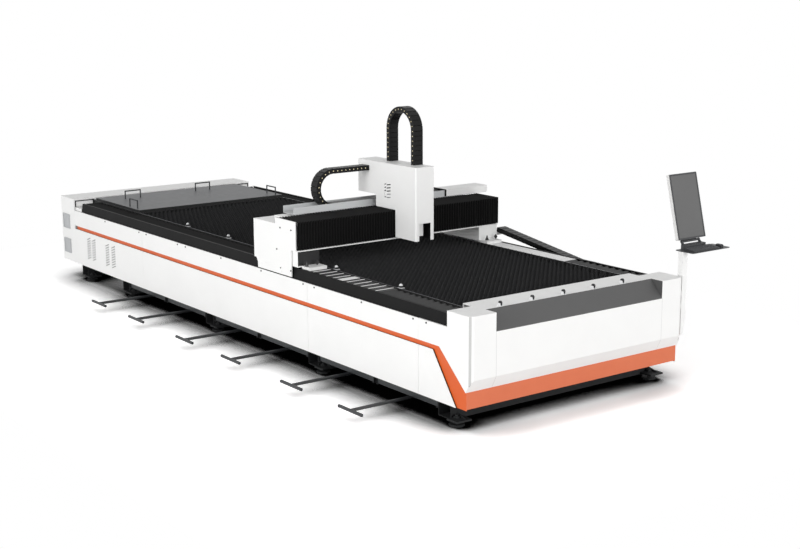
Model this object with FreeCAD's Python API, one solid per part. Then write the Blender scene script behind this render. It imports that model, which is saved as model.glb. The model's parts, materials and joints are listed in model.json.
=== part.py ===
import FreeCAD, Part
import math
import os

os.makedirs("parts", exist_ok=True)

# Fiber laser cutting machine: a long open flat bed, a gantry that travels along it and a cutting head
# on the gantry. Millimetres. X runs along the bed towards the loading end, -Y is the drawer side,
# Z is up from the floor. All sizes below are in the bed's own frame, centred on the bed.

# ---- bed ----
bedLength = 7144
bedWidth = 2200
deckHeight = 880
skirtTop = deckHeight - 120
skirtBottom = 175
sheetWall = 6
panelDepth = 12
panelWall = 3
panelGap = 2
halfLength = bedLength / 2
halfWidth = bedWidth / 2
cutMargin = 1
edgeMargin = 1

# ---- trough for the travel rail, on each side of the bed ----
rimY = halfWidth - 237
rimTop = deckHeight - 25
rimWall = 6
rimCrossWidth = 30
rimBottom = deckHeight - 190
slatSeatHeight = deckHeight - 100
slatSeatWidth = 25
troughFloor = deckHeight - 90
troughWallTop = deckHeight - 30
troughWallLean = 16
troughLip = 22
troughSheet = 3
troughFlange = 30

# ---- loading end ----
blockLength = 262
blockInnerY = rimY - rimWall
ledgeRearX = halfLength - 372
slopeTopX = halfLength - 121
slopeBottom = deckHeight - 134
bandSetback = 48
bandBottom = 185
bandTop = 313
frontFaceBottom = 406
frontCornerRadius = 45
sideWingX = halfLength - 604

# ---- colour band along the side ----
stripeBottom = skirtTop - 203
stripeTop = skirtTop - 165
stripeLowerCornerX = halfLength - 431
stripeUpperCornerX = halfLength - 355
stripeFootX = halfLength - 157
bandOverlap = 10
bandSheet = 3
panelSeams = [round(share * halfLength) for share in (-0.443, 0.4076)]

# ---- far end ----
farBlockLength = 353
deckFarX = -halfLength + farBlockLength
troughGap = 170
endFrameBar = 9
endFrameDepth = 8
sillSheet = 3
serviceBoxSize = [165, 12, 160]
serviceBoxX = 150 - halfLength
serviceBoxHeights = [skirtTop - 142, skirtTop - 414]
serviceBoxRim = 10
farCornerRadius = 14

# ---- welded frame ----
tubeShares = [-0.5935, -0.0952, 0.4031]
crossTubeX = [deckFarX + 79] + [round(share * halfLength) for share in tubeShares] + [halfLength - 362]
crossTubeWidth = 150
crossTubeHeight = 150
crossTubeBottom = 40
tubeWall = 6
sideBeamY = halfWidth - 120
sideBeamWidth = 120
sideBeamHeight = 200
sideBeamOverhang = 260
railBedHeight = 90
postSize = 100
tieHeight = 80
tieLift = 60

# ---- levelling feet ----
padRadius = 60
padHeight = 16
studRadius = 12
nutRadius = 24
nutHeight = 12
nutSides = 6
padSides = 8
footOffset = 105
footY = halfWidth - 90
footShelf = [120, 140, 14]
footShelfLift = 6
footWeb = 10
footWebHeight = 28
barSides = 8

# ---- slats ----
slatPitch = 100
slatFirstX = deckFarX + 1179
slatEndMargin = 35
slatCount = int((ledgeRearX - slatEndMargin - slatFirstX) / slatPitch) + 1
slatThickness = 4
slatTip = deckHeight - 12
slatTeeth = 8
slatToothDepth = 26
slatEndGap = 5

# ---- rails and racks ----
railY = halfWidth - 140
railWidth = 35
railHeight = 35
rackY = halfWidth - 80
rackWidth = 25
rackHeight = 25
railBedGap = 5
troughFarX = deckFarX + troughGap
railFarX = troughFarX + 20
railNearX = halfLength - 282

# ---- scrap drawers ----
drawerBay = min(near - rear for rear, near in zip(crossTubeX[1:], crossTubeX[2:]))
drawerWidth = (drawerBay - crossTubeWidth) / 2 - 30
drawerOffset = drawerWidth / 2 + 20
drawerFrontY = 70 - halfWidth
drawerBackY = halfWidth - 200
drawerBottom = 98
drawerHeight = 70
drawerSheet = 4
rodRadius = 14
rodOffset = 30
weldDepth = 1
rodInnerY = 600 - halfWidth
handleY = -halfWidth - 480
handleLength = 300
runnerThickness = 5
runnerClearance = 0.3
runnerReach = 22

# ---- equipment bay lid ----
lidNearX = slatFirstX - 55
lidFarX = deckFarX + 69
lidOverlap = 3
lidHalfWidth = rimY + lidOverlap
lidThickness = 28
lidTop = rimTop + lidThickness
lidWall = 4
lidStiffener = 40
pullWidth = 180
pullHeight = 85
pullRadius = 7
lidRearPulls = [(lidFarX + 270, round(-0.6454 * rimY)), (lidFarX + 225, round(0.379 * rimY))]
lidSidePulls = [(lidNearX - 193, 28 - rimY), (lidNearX - 105, rimY - 73)]

# ---- gantry ----
gantryRearX = 800
gantryFrontX = gantryRearX + 390
beamHalfSpan = halfWidth - 100
beamBottom = deckHeight + 123
beamTop = beamBottom + 229
beamWall = 12
footBottom = deckHeight - 18
footRearX = gantryRearX - 140
footFrontX = gantryFrontX + 110
footInnerY = rimY + 10
footOuterY = halfWidth - 14
toePlateFrontX = footFrontX + 115
toePlateThickness = 10
bufferX = footFrontX + 50
bufferRadius = 18
bufferHeight = 44
bufferTipRadius = 3
bufferSides = 10
bufferSpread = 52
flangeThickness = 8
endPlateOuterY = halfWidth + 1
endPlateThickness = 10
coverSheet = 5
coverDrop = 6
coverLift = 8
coverCorner = 25
coverPlateTop = beamTop - 40
coverRoofZ = coverPlateTop - coverSheet
skirtFrontX = gantryFrontX + 28
skirtRearX = footRearX + 15
skirtLowZ = deckHeight - 110
skirtStepZ = deckHeight - 62
accessX = [skirtRearX + 15, skirtFrontX - 151]
accessZ = [deckHeight - 102, deckHeight - 51]
accessSheet = 3
coverRearX = gantryRearX - 182
coverStepX = gantryRearX + 174
coverFrontX = gantryFrontX + 100
coverTop = beamTop + 14
coverStepTop = beamTop - 37
blockCarLength = 120
blockCarWidth = 70
blockCarX = [footRearX + 120, footFrontX - 150]
blockCarLift = 8
runningGap = 0.3
pinClearance = 0.08

# ---- drives of the long travel ----
gearHousingLength = 55
gearHousingInset = 35
driveInset = 10
driveY = halfWidth - 115
gearboxSize = 100
gearboxHeight = 60
motorRadius = 42
motorHeight = 112

# ---- pleated covers ----
bellowsFrontX = gantryFrontX + 122
bellowsRearX = gantryFrontX - 198
bellowsTop = beamTop + 16
bellowsBottom = beamBottom + 5
bellowsDepth = 12
bellowsSheet = 2
bellowsPitch = 28
railBellowsTop = deckHeight - 34
railBellowsDepth = 16
railBellowsInnerY = footInnerY
railBellowsSideGap = 3
railBellowsOuterY = halfWidth - panelDepth - troughWallLean - troughLip - railBellowsSideGap
railBellowsPitch = 76
packRearX = halfLength - 1172
ribCount = 10
ribWidth = 18
wideRib = 4
wideRibWidth = 70
ribHeight = 3
stripInset = 12

# ---- carriage and head housing ----
headY = 15
housingWidth = 200
housingRearX = gantryRearX - 45
housingFrontX = bellowsFrontX + 293
housingTop = beamTop + 413
housingBottom = beamBottom + 7
housingTailBottom = beamTop + 123
housingTailX = bellowsRearX + 33
housingSheet = 5
mouthTop = housingBottom + 150
mouthLeft = 37
mouthRight = 38
carriagePlateX = gantryFrontX + 55
carriagePlateThickness = 20
carriageLift = 10
yRailHeights = [beamBottom + 42, beamTop - 42]
yRailDepth = 24
yRackDepth = 19
yRailWidth = 30
yCarWidth = 64
yCarLength = 70
yCarGap = 3
yCarSpread = 52
carriagePlateTop = housingTop - 45
zRailSpread = 55
zRailWidth = 20
zRailDepth = 15
zRailBottom = housingBottom + 70
zRailTop = carriagePlateTop - 20
zCarWall = 12
zCarWidth = 44
zCarLength = 60
zCarHeights = [zRailBottom + 120, zRailTop - 160]
housingClear = 2
housingCornerRadius = 12
louvreRows = 5
louvreX = [housingRearX + 394, housingRearX + 429]
louvreZ = housingTop - 307
louvrePitch = 28
louvreLengths = [28, 60]
louvreRise = 9
louvreHeight = 9

# ---- cable chains ----
linkWidth = 95
linkHeight = 45
linkPitch = 44
linkPitchX = 66
linkLap = 3
chainGap = 2.5
chainSeatLength = 60
fewestTurnLinks = 4
linkWaist = 0.42
linkFlat = 0.8
yChainX = gantryRearX + 32
yChainRadius = 175
yChainCentreY = 630 - halfWidth
yChainFixedY = halfWidth - 300
trayRearX = gantryRearX
trayFrontX = trayRearX + 170
trayBottom = beamTop + 13
trayTop = trayBottom + 60
traySheet = 4
trayLeftY = 190 - halfWidth
trayRightY = halfWidth + 135
trayCoverY = halfWidth - 360
traySpacers = 6
spacerInset = 20
spacerHalf = 20
zChainY = 12
zChainRearX = housingRearX + 300
zChainWidth = 400
zChainTop = housingTop + 490
zChainLegEnd = housingTop - 85
xChainY = halfWidth + 32
xChainRadius = 70
xChainCentreX = halfLength - 1097
xChainFixedX = 900
xChainLeadX = xChainCentreX - 175
xChainHighX = gantryFrontX + 60
xChainHighTop = deckHeight + 77
xTrayFarX = 1822 - halfLength
xTrayNearX = halfLength - 152
xTrayInnerY = halfWidth + 12
xTrayOuterY = xTrayInnerY + 134
xTrayBottom = skirtTop - 98
xTrayWall = 3
xTrayTop = xTrayBottom + 78
xTrayBrackets = 6
xBracketDrop = 60
xBracketNose = 14
xBracketHalf = 20
chainPlate = [138, 110, 8]
chainPlateTop = deckHeight + 100
chainArmLength = 94
chainArmHeight = 60
chainArmLift = 10
chainArmSheet = 6
chainEndGap = 8

# ---- laser head ----
nozzleX = housingFrontX - 125
nozzleTip = deckHeight + 73
nozzleTopRadius = 26
nozzleTipRadius = 5
nozzleConeRadius = 13
nozzleNeckRadius = 16
headCoverBottom = nozzleTip + 87
headCoverTop = headCoverBottom + 360
headCoverDepth = 120
headCoverWidth = 84
headBarrelRadius = 30
headBarrelTop = headCoverTop + 80
headCoverSheet = 3
headCoverRadius = 24
nozzleBore = 1.5
nozzleConeHeight = 18
nozzleShoulder = nozzleTip + 59
slideThickness = 15
slideHalf = 78
slideBottom = headCoverBottom + 100
slideTop = slideBottom + 320
armHalf = 32
armBottom = slideBottom + 150
armTop = armBottom + 100

# ---- loading rollers ----
rollerX = halfLength - 140
rollerFirstY = 161 - rimY
rollerPitchY = 313
rollerCount = 5
rollerRadius = 17
rollerWidth = 13
rollerHeight = deckHeight + 22
rollerPin = 4
rollerSideGap = 1.5
bracketSheet = 3
bracketRear = 21
bracketFront = 16

# ---- ball supports on the rim ----
supportBall = 16
supportHalf = 24
supportReach = 40
supportSheet = 4
supportShares = [0.17, 0.33, 0.5, 0.67, 0.84]
supportCup = 20
supportCupHeight = 16
supportSides = 8
domeAngles = [0, 45, 80]

# ---- operator console ----
columnX = halfLength - 112
columnY = halfWidth + 50
columnSize = 52
columnBottom = skirtTop - 380
consoleTrayBottom = deckHeight + 186
columnTop = consoleTrayBottom
columnTaper = 150
columnTipShare = 0.55
columnPlate = 24
columnArm = 40
columnArmZ = [skirtTop - 155, skirtTop - 50]
consoleTrayX = [halfLength - 152, halfLength + 38]
consoleTrayY = [halfWidth + 55, halfWidth + 500]
consoleTraySheet = 6
consoleTrayRadius = 14
standRearX = halfLength - 150
standDepth = 58
standLeftY = halfWidth + 120
standWidth = 230
standHeight = 38
earInset = 10
earSheet = 8
earRadius = 12
earReach = 24
keyboardX = [halfLength - 80, halfLength + 32]
keyboardY = [halfWidth + 75, halfWidth + 380]
keyboardRearHeight = 24
keyboardFrontHeight = 13
keyboardBevel = 2.5
mouseX = [halfLength - 52, halfLength + 16]
mouseY = [halfWidth + 412, halfWidth + 452]
mouseHeight = 24
mouseCornerRadius = 16
mouseBevel = 7
monitorWidth = 320
monitorHeight = 535
monitorThickness = 34
monitorLean = 14
monitorLeftY = halfWidth + 84
monitorPivotX = halfLength - 157
monitorPivotZ = consoleTrayBottom + 62
monitorFront = 19
monitorLift = 13
monitorCornerRadius = 8
pivotRadius = 6
barrelRadius = 10
bracketDepth = 26
bracketRise = 130
bracketInset = 20
bezelWidth = 14
bezelDepth = 3

# The origin is under the middle of the whole machine, drawer handles and console included.
lowestY = handleY - rodRadius
highestY = consoleTrayY[1]
originShift = FreeCAD.Vector((halfLength - consoleTrayX[1]) / 2, -(lowestY + highestY) / 2, 0)


def box(x0, x1, y0, y1, z0, z1):
    return Part.makeBox(x1 - x0, y1 - y0, z1 - z0, FreeCAD.Vector(x0, y0, z0))


def face(points):
    return Part.Face(Part.makePolygon(points + [points[0]]))


def prismY(profile, y0, y1):
    points = [FreeCAD.Vector(x, y0, z) for x, z in profile]
    return face(points).extrude(FreeCAD.Vector(0, y1 - y0, 0))


def prismX(profile, x0, x1):
    points = [FreeCAD.Vector(x0, y, z) for y, z in profile]
    return face(points).extrude(FreeCAD.Vector(x1 - x0, 0, 0))


def prismZ(profile, z0, z1):
    points = [FreeCAD.Vector(x, y, z0) for x, y in profile]
    return face(points).extrude(FreeCAD.Vector(0, 0, z1 - z0))


def rod(start, end, radius):
    direction = FreeCAD.Vector(*end) - FreeCAD.Vector(*start)
    return Part.makeCylinder(radius, direction.Length, FreeCAD.Vector(*start), direction)


def ring(radius, sides):
    return [(radius * math.cos(2 * math.pi * k / sides), radius * math.sin(2 * math.pi * k / sides))
            for k in range(sides)]


def bar(start, end, radius):
    # a thin round bar with few sides
    begin = FreeCAD.Vector(*start)
    axis = FreeCAD.Vector(*end) - begin
    turn = FreeCAD.Rotation(FreeCAD.Vector(0, 0, 1), axis)
    points = [begin + turn.multVec(FreeCAD.Vector(u, v, 0)) for u, v in ring(radius, barSides)]
    return face(points).extrude(axis)


def mirrored(shape):
    return shape.mirror(FreeCAD.Vector(0, 0, 0), FreeCAD.Vector(0, 1, 0))


def joined(shapes):
    result = shapes[0].multiFuse(shapes[1:]) if len(shapes) > 1 else shapes[0]
    return result.removeSplitter()


def tubeX(x0, x1, y, z, width, height, wall):
    outer = box(x0, x1, y - width / 2, y + width / 2, z, z + height)
    return outer.cut(box(x0, x1, y - width / 2 + wall, y + width / 2 - wall, z + wall, z + height - wall))


def tubeY(x, y0, y1, z, width, height, wall):
    outer = box(x - width / 2, x + width / 2, y0, y1, z, z + height)
    return outer.cut(box(x - width / 2 + wall, x + width / 2 - wall, y0, y1, z + wall, z + height - wall))


def tubeZ(x, y, z0, z1, size, wall):
    outer = box(x - size / 2, x + size / 2, y - size / 2, y + size / 2, z0, z1)
    return outer.cut(box(x - size / 2 + wall, x + size / 2 - wall, y - size / 2 + wall, y + size / 2 - wall,
                         z0, z1))


def save(name, shapes):
    solids = shapes if isinstance(shapes, list) else [shapes]
    whole = Part.makeCompound(solids) if len(solids) > 1 else solids[0]
    whole = whole.copy()
    whole.translate(originShift)
    whole.exportStep("parts/" + name + ".step")
    print(name, len(solids))


# ---- pleated sheet: rings of one cross-section, high and low in turn, joined by flat faces ----
def pleated(rings):
    faces = [face(rings[0]), face(rings[-1])]
    for first, second in zip(rings, rings[1:]):
        for i in range(len(first)):
            j = (i + 1) % len(first)
            faces.append(face([first[i], first[j], second[j], second[i]]))
    solid = Part.makeSolid(Part.makeShell(faces))
    if solid.Volume < 0:
        solid.reverse()
    return solid


def turned(x, y, profile, sides):
    # a round piece with few sides, standing upright, from (radius, height) pairs
    return pleated([[FreeCAD.Vector(x + u, y + v, z) for u, v in ring(radius, sides)]
                    for radius, z in profile])


def pleatStations(start, end, pitch):
    folds = max(2, 2 * round(abs(end - start) / pitch))
    return [(start + (end - start) * i / folds, i % 2) for i in range(folds + 1)]


# ---- cable chain: flat-sided links along straight runs and a half turn ----
def chainLink(centre, along, across, pitch):
    # centre is the middle of the link, along its running direction, across the way the pins point
    up = across.cross(along)
    half = (pitch + linkLap) / 2
    waist = linkHeight * linkWaist
    flat = half * linkFlat
    edge = linkHeight / 2
    profile = [(-half, -waist), (-flat, -edge), (flat, -edge), (half, -waist), (half, waist), (flat, edge),
               (-flat, edge), (-half, waist)]
    points = [centre + along * u + up * v - across * (linkWidth / 2) for u, v in profile]
    return face(points).extrude(across * linkWidth)


def chainRun(start, end, across, pitch):
    span = end - start
    along = FreeCAD.Vector(span)
    along.normalize()
    count = max(1, round(span.Length / pitch))
    links = []
    for i in range(count):
        links.append(chainLink(start + span * ((i + 0.5) / count), along, across, span.Length / count))
    return links


def turnCount(radius, pitch):
    return max(fewestTurnLinks, round(math.pi * radius / pitch))


def chainTurn(centre, radius, across, outward, pitch):
    # half a turn of links about centre, from outward round to its opposite
    count = turnCount(radius, pitch)
    links = []
    for i in range(count):
        spin = FreeCAD.Rotation(across, 180 * (i + 0.5) / count)
        arm = spin.multVec(outward)
        links.append(chainLink(centre + arm * radius, across.cross(arm), across, math.pi * radius / count))
    return links


def turnOverhang(radius, pitch):
    # how far the end links of a half turn reach past its middle line
    step = math.radians(90 / turnCount(radius, pitch))
    half = (radius * step * 2 + linkLap) / 2
    return half * math.cos(step) - (radius - linkHeight * linkWaist) * math.sin(step)


# ---- bed frame ----
def bedFrame():
    solids = []
    beamBottomZ = crossTubeBottom + crossTubeHeight
    postBottom = beamBottomZ + sideBeamHeight
    railBedBottom = troughFloor - railBedHeight
    frameHalf = sideBeamY + sideBeamWidth / 2
    for x in crossTubeX:
        solids.append(tubeY(x, -frameHalf, frameHalf, crossTubeBottom, crossTubeWidth, crossTubeHeight,
                            tubeWall))
        inner = sideBeamY - sideBeamWidth / 2
        solids.append(tubeY(x, -inner, inner, beamBottomZ + tieLift, crossTubeWidth, tieHeight, tubeWall))
    for side in (-1, 1):
        y = side * sideBeamY
        solids.append(tubeX(deckFarX, crossTubeX[-1] + sideBeamOverhang, y, beamBottomZ, sideBeamWidth,
                            sideBeamHeight, tubeWall))
        solids.append(tubeX(deckFarX, halfLength - blockLength - railBedGap, y, railBedBottom, sideBeamWidth,
                            railBedHeight, tubeWall))
        for x in postPlaces():
            solids.append(tubeZ(x, y, postBottom, railBedBottom, postSize, tubeWall))
    return solids


def postPlaces():
    middles = [(a + b) / 2 for a, b in zip(crossTubeX[1:], crossTubeX[2:])]
    near = crossTubeX[-1]
    return sorted([deckFarX + postSize / 2] + crossTubeX[1:-1] + middles + [near])


save("bed_frame", bedFrame())


def levellingFeet():
    # a shelf with a web on the near side of each cross tube's end, a stud through it and a round pad
    feet = []
    length, depth, sheet = footShelf
    low = crossTubeBottom + footShelfLift
    top = low + sheet
    for tubeX in crossTubeX:
        side = tubeX + crossTubeWidth / 2
        x = tubeX + footOffset
        for way in (-1, 1):
            y = way * footY
            shelf = box(side, side + length, y - depth / 2, y + depth / 2, low, top)
            webY = y + studRadius * 2
            web = prismY([(side, top), (side + length - footWeb, top), (side, top + footWebHeight)], webY,
                         webY + footWeb)
            pad = turned(x, y, [(padRadius, 0), (padRadius, padHeight)], padSides)
            stud = bar((x, y, padHeight), (x, y, top + nutHeight + studRadius), studRadius)
            nut = turned(x, y, [(nutRadius, top), (nutRadius, top + nutHeight)], nutSides)
            feet.append(joined([shelf, web, pad, stud, nut]))
    return feet


save("levelling_feet", levellingFeet())

# ---- travel rails and racks in the two troughs ----
rails = [box(railFarX, railNearX, s * railY - railWidth / 2, s * railY + railWidth / 2, troughFloor,
             troughFloor + railHeight) for s in (-1, 1)]
save("travel_rails", rails)
racks = [box(railFarX, railNearX, s * rackY - rackWidth / 2, s * rackY + rackWidth / 2, troughFloor,
             troughFloor + rackHeight) for s in (-1, 1)]
save("gear_racks", racks)


# ---- black sheet on the outer side of each trough ----
def troughCover():
    y = halfWidth - panelDepth
    top = y - troughWallLean
    foot = skirtTop - troughFlange
    profile = [(y, skirtTop), (top, troughWallTop), (top - troughLip, troughWallTop),
               (top - troughLip, troughWallTop - troughSheet),
               (top - troughSheet, troughWallTop - troughSheet), (y - troughSheet, skirtTop),
               (y - troughSheet, foot), (y, foot)]
    return prismX(profile, troughFarX, halfLength - blockLength)


def endFrame():
    # dark edging on the far block, round the end of the trough
    inner = rimY + rimWall
    outer = halfWidth - panelDepth
    bar = endFrameBar
    top = rimTop + endFrameBar
    frame = box(deckFarX, deckFarX + endFrameDepth, inner, outer, troughFloor, top)
    frame = frame.cut(box(deckFarX - cutMargin, deckFarX + endFrameDepth + cutMargin,
                          inner + bar, outer - bar, troughFloor + sillSheet, top - bar))
    return joined([frame, box(deckFarX, deckFarX + endFrameDepth, outer - bar, outer, skirtTop, troughFloor)])


save("trough_covers", [mirrored(troughCover()), troughCover(), mirrored(endFrame()), endFrame()])


# ---- slat rims and slats ----
def slatRim():
    profile = [(rimY, rimBottom), (rimY + rimWall, rimBottom), (rimY + rimWall, rimTop), (rimY, rimTop),
               (rimY, slatSeatHeight), (rimY - slatSeatWidth, slatSeatHeight),
               (rimY - slatSeatWidth, slatSeatHeight - rimWall), (rimY, slatSeatHeight - rimWall)]
    return prismX(profile, deckFarX, ledgeRearX)


def rimCross(x0, x1):
    # a cross sheet between the rims, turned down at its near edge
    sheet = box(x0, x1, -rimY, rimY, rimTop - rimWall, rimTop)
    return sheet.fuse(box(x1 - rimWall, x1, -rimY, rimY, slatSeatHeight, rimTop - rimWall)).removeSplitter()


rimCrosses = [rimCross(deckFarX, lidFarX), rimCross(lidNearX, lidNearX + rimCrossWidth)]
save("slat_rims", [mirrored(slatRim()), slatRim()] + rimCrosses)


def slat(x):
    end = rimY - slatEndGap
    pitch = 2 * end / slatTeeth
    root = slatTip - slatToothDepth
    profile = [(-end, slatSeatHeight), (end, slatSeatHeight), (end, root)]
    for i in range(slatTeeth):
        y = end - i * pitch
        profile.append((y - pitch / 2, slatTip))
        if i < slatTeeth - 1:
            profile.append((y - pitch, root))
    profile.append((-end, root))
    return prismX(profile, x - slatThickness / 2, x + slatThickness / 2)


save("cutting_slats", [slat(slatFirstX + i * slatPitch) for i in range(slatCount)])


# ---- side panels: folded sheet pans, with the colour band in the gap between upper and lower ----
def foldedPanel(profile, inner):
    outerY = -halfWidth
    shell = prismY(profile, outerY, outerY + panelDepth)
    return shell.cut(prismY(inner, outerY + panelWall, outerY + panelDepth))


def rectanglePanel(x0, x1, z0, z1):
    w = panelWall
    return foldedPanel([(x0, z0), (x1, z0), (x1, z1), (x0, z1)],
                       [(x0 + w, z0 + w), (x1 - w, z0 + w), (x1 - w, z1 - w), (x0 + w, z1 - w)])


def panelSpans(end):
    edges = [deckFarX] + panelSeams + [end]
    return [(a + panelGap / 2, b - panelGap / 2) for a, b in zip(edges, edges[1:])]


def upperPanels():
    return [rectanglePanel(a, b, stripeTop, skirtTop) for a, b in panelSpans(sideWingX)]


def lowerPanels():
    spans = panelSpans(sideWingX)
    panels = [rectanglePanel(a, b, skirtBottom, stripeBottom) for a, b in spans]
    w = panelWall
    x0 = sideWingX + panelGap / 2
    slope = (stripeFootX - stripeLowerCornerX) / (stripeBottom - skirtBottom)
    panels.append(foldedPanel(
        [(x0, skirtBottom), (stripeFootX, skirtBottom), (stripeLowerCornerX, stripeBottom),
         (x0, stripeBottom)],
        [(x0 + w, skirtBottom + w), (stripeFootX - w - slope * w * 2, skirtBottom + w),
         (stripeLowerCornerX - w, stripeBottom - w), (x0 + w, stripeBottom - w)]))
    return panels


save("side_panels_upper_left", upperPanels())
save("side_panels_upper_right", [mirrored(p) for p in upperPanels()])
save("side_panels_lower_left", lowerPanels())
save("side_panels_lower_right", [mirrored(p) for p in lowerPanels()])


def accentBand():
    outerY = halfWidth - panelDepth
    frontX = halfLength - bandSetback
    m = bandOverlap
    profile = [(deckFarX, stripeBottom - m), (stripeLowerCornerX - m, stripeBottom - m),
               (stripeFootX - m, skirtBottom), (frontX - bandSheet, skirtBottom),
               (frontX - bandSheet, bandTop),
               (stripeUpperCornerX + m, stripeTop + m), (deckFarX, stripeTop + m)]
    left = prismY(profile, -outerY, -outerY + bandSheet)
    front = box(frontX - bandSheet, frontX, -outerY, outerY, bandBottom, bandTop)
    return [left, mirrored(left), front]


save("accent_band", accentBand())


# ---- loading end cover: one folded shell with two raised corner blocks, a level ledge and an undercut ----
def frontEndCover():
    w = sheetWall
    rear = halfLength - blockLength
    bandX = halfLength - bandSetback
    profile = [(sideWingX, stripeTop), (stripeUpperCornerX, stripeTop), (bandX, bandTop),
               (halfLength, frontFaceBottom), (halfLength, deckHeight), (rear, deckHeight), (rear, skirtTop),
               (sideWingX, skirtTop)]
    shell = prismY(profile, -halfWidth, halfWidth)
    corners = [e for e in shell.Edges if e.BoundBox.XMin > halfLength - edgeMargin
               and e.BoundBox.ZLength > frontCornerRadius and e.BoundBox.YLength < edgeMargin]
    shell = shell.makeFillet(frontCornerRadius, corners)
    rearCut = sideWingX - cutMargin
    topCut = deckHeight + cutMargin
    inside = [(rearCut, skirtBottom), (bandX - w, skirtBottom), (bandX - w, bandTop),
              (halfLength - w, frontFaceBottom),
              (halfLength - w, slopeBottom - w), (slopeTopX - w, deckHeight - w), (rear + w, deckHeight - w),
              (rear + w, skirtTop - w), (rear, skirtTop - w), (rear, topCut), (rearCut, topCut)]
    hollow = prismY(inside, -halfWidth + panelDepth, halfWidth - panelDepth)
    corners = [e for e in hollow.Edges if e.BoundBox.XMin > halfLength - w - edgeMargin
               and e.BoundBox.ZLength > frontCornerRadius and e.BoundBox.YLength < edgeMargin]
    shell = shell.cut(hollow.makeFillet(frontCornerRadius, corners))
    for side in (-1, 1):
        a, b = sorted((side * (blockInnerY + w), side * (halfWidth - panelDepth)))
        shell = shell.cut(box(rear + w, halfLength - frontCornerRadius, a, b, slopeBottom, deckHeight - w))
    cut = [(slopeTopX, topCut), (slopeTopX, deckHeight - w * 2), (halfLength, slopeBottom - w),
           (halfLength + cutMargin, slopeBottom - w), (halfLength + cutMargin, topCut)]
    shell = shell.cut(prismY(cut, -blockInnerY, blockInnerY))
    ledge = box(ledgeRearX, rear + w, -rimY, rimY, deckHeight - w, deckHeight)
    lip = box(ledgeRearX, ledgeRearX + w, -rimY, rimY, rimBottom, deckHeight - w)
    return joined([shell, ledge, lip])


save("front_end_cover", frontEndCover())


def slopePlate():
    w = sheetWall
    profile = [(slopeTopX, deckHeight), (halfLength, slopeBottom), (halfLength, slopeBottom - w),
               (slopeTopX, deckHeight - w * 2)]
    return prismY(profile, -blockInnerY, blockInnerY)


save("front_slope_plate", slopePlate())


# ---- far end: a closed block with rounded far corners, open below, and two service boxes on its side ----
def farEndCover():
    w = sheetWall
    outer = box(-halfLength, deckFarX, -halfWidth, halfWidth, skirtBottom, deckHeight)
    corners = [e for e in outer.Edges if e.BoundBox.XMax < -halfLength + edgeMargin
               and e.BoundBox.ZLength > farCornerRadius]
    outer = outer.makeFillet(farCornerRadius, corners)
    return outer.cut(box(-halfLength + w, deckFarX - w, -halfWidth + w, halfWidth - w,
                         skirtBottom - cutMargin, deckHeight - w))


def serviceBox(z):
    length, depth, height = serviceBoxSize
    x0 = serviceBoxX - length / 2
    outer = box(x0, x0 + length, -halfWidth - depth, -halfWidth, z - height / 2, z + height / 2)
    rim = serviceBoxRim
    recess = box(x0 + rim, x0 + length - rim, -halfWidth - depth, -halfWidth - depth + rim / 2,
                 z - height / 2 + rim, z + height / 2 - rim)
    return outer.cut(recess)


def farSill():
    # pale sheet over the rail bed, folded down at its edge, between the far block and the pleated cover
    inner = rimY + rimWall
    outer = halfWidth - panelDepth
    low = skirtTop - troughFlange
    top = troughFloor + sillSheet
    profile = [(inner, top), (outer, top), (outer, low), (outer - sillSheet, low),
               (outer - sillSheet, troughFloor), (inner, troughFloor)]
    return prismX(profile, deckFarX + endFrameDepth, troughFarX)


save("far_end_cover", [farEndCover(), mirrored(farSill()),
                       farSill()] + [serviceBox(z) for z in serviceBoxHeights])


# ---- lid over the equipment bay, resting on the rims ----
def lid():
    outer = box(lidFarX, lidNearX, -lidHalfWidth, lidHalfWidth, rimTop, lidTop)
    w = lidWall
    inner = box(lidFarX + w, lidNearX - w, -lidHalfWidth + w, lidHalfWidth - w, rimTop - cutMargin,
                lidTop - w)
    middle = (lidFarX + lidNearX) / 2
    stiffener = box(middle - lidStiffener / 2, middle + lidStiffener / 2, -lidHalfWidth + w, lidHalfWidth - w,
                    rimTop, lidTop - w)
    return joined([outer.cut(inner), stiffener])


save("compartment_lid", lid())


def pull(x, y, z, alongX):
    # a round bar bent into a bridge, with mitred corners
    half = pullWidth / 2
    top = z + pullHeight
    stations = [(-half, 1, z, 0), (-half, 1, top, 1), (half, -1, top, 1), (half, -1, z, 0)]
    rings = []
    for place, way, height, mitre in stations:
        points = []
        for u, v in ring(pullRadius, barSides):
            along = place + way * u
            level = height - mitre * u
            spot = (x + along, y + v, level) if alongX else (x - v, y + along, level)
            points.append(FreeCAD.Vector(*spot))
        rings.append(points)
    return pleated(rings)


rearPulls = [pull(x, y, lidTop, False) for x, y in lidRearPulls]
sidePulls = [pull(x, y, lidTop, True) for x, y in lidSidePulls]
save("lift_handles", rearPulls + sidePulls)


# ---- loading rollers on the ledge, and ball supports along the drawer side rim ----
def rollerBracket(y):
    half = rollerWidth / 2 + rollerSideGap
    outer = half + bracketSheet
    base = box(rollerX - bracketRear, rollerX + bracketFront, y - outer, y + outer, deckHeight,
               deckHeight + bracketSheet)
    top = rollerHeight + rollerPin + bracketSheet
    profile = [(rollerX - bracketRear, deckHeight), (rollerX + bracketFront, deckHeight),
               (rollerX + rollerPin * 2, top), (rollerX - rollerPin * 2, top)]
    cheeks = [prismY(profile, y - outer, y - half), prismY(profile, y + half, y + outer)]
    pin = rod((rollerX, y - outer, rollerHeight), (rollerX, y + outer, rollerHeight), rollerPin)
    return joined([base, pin] + cheeks)


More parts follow.
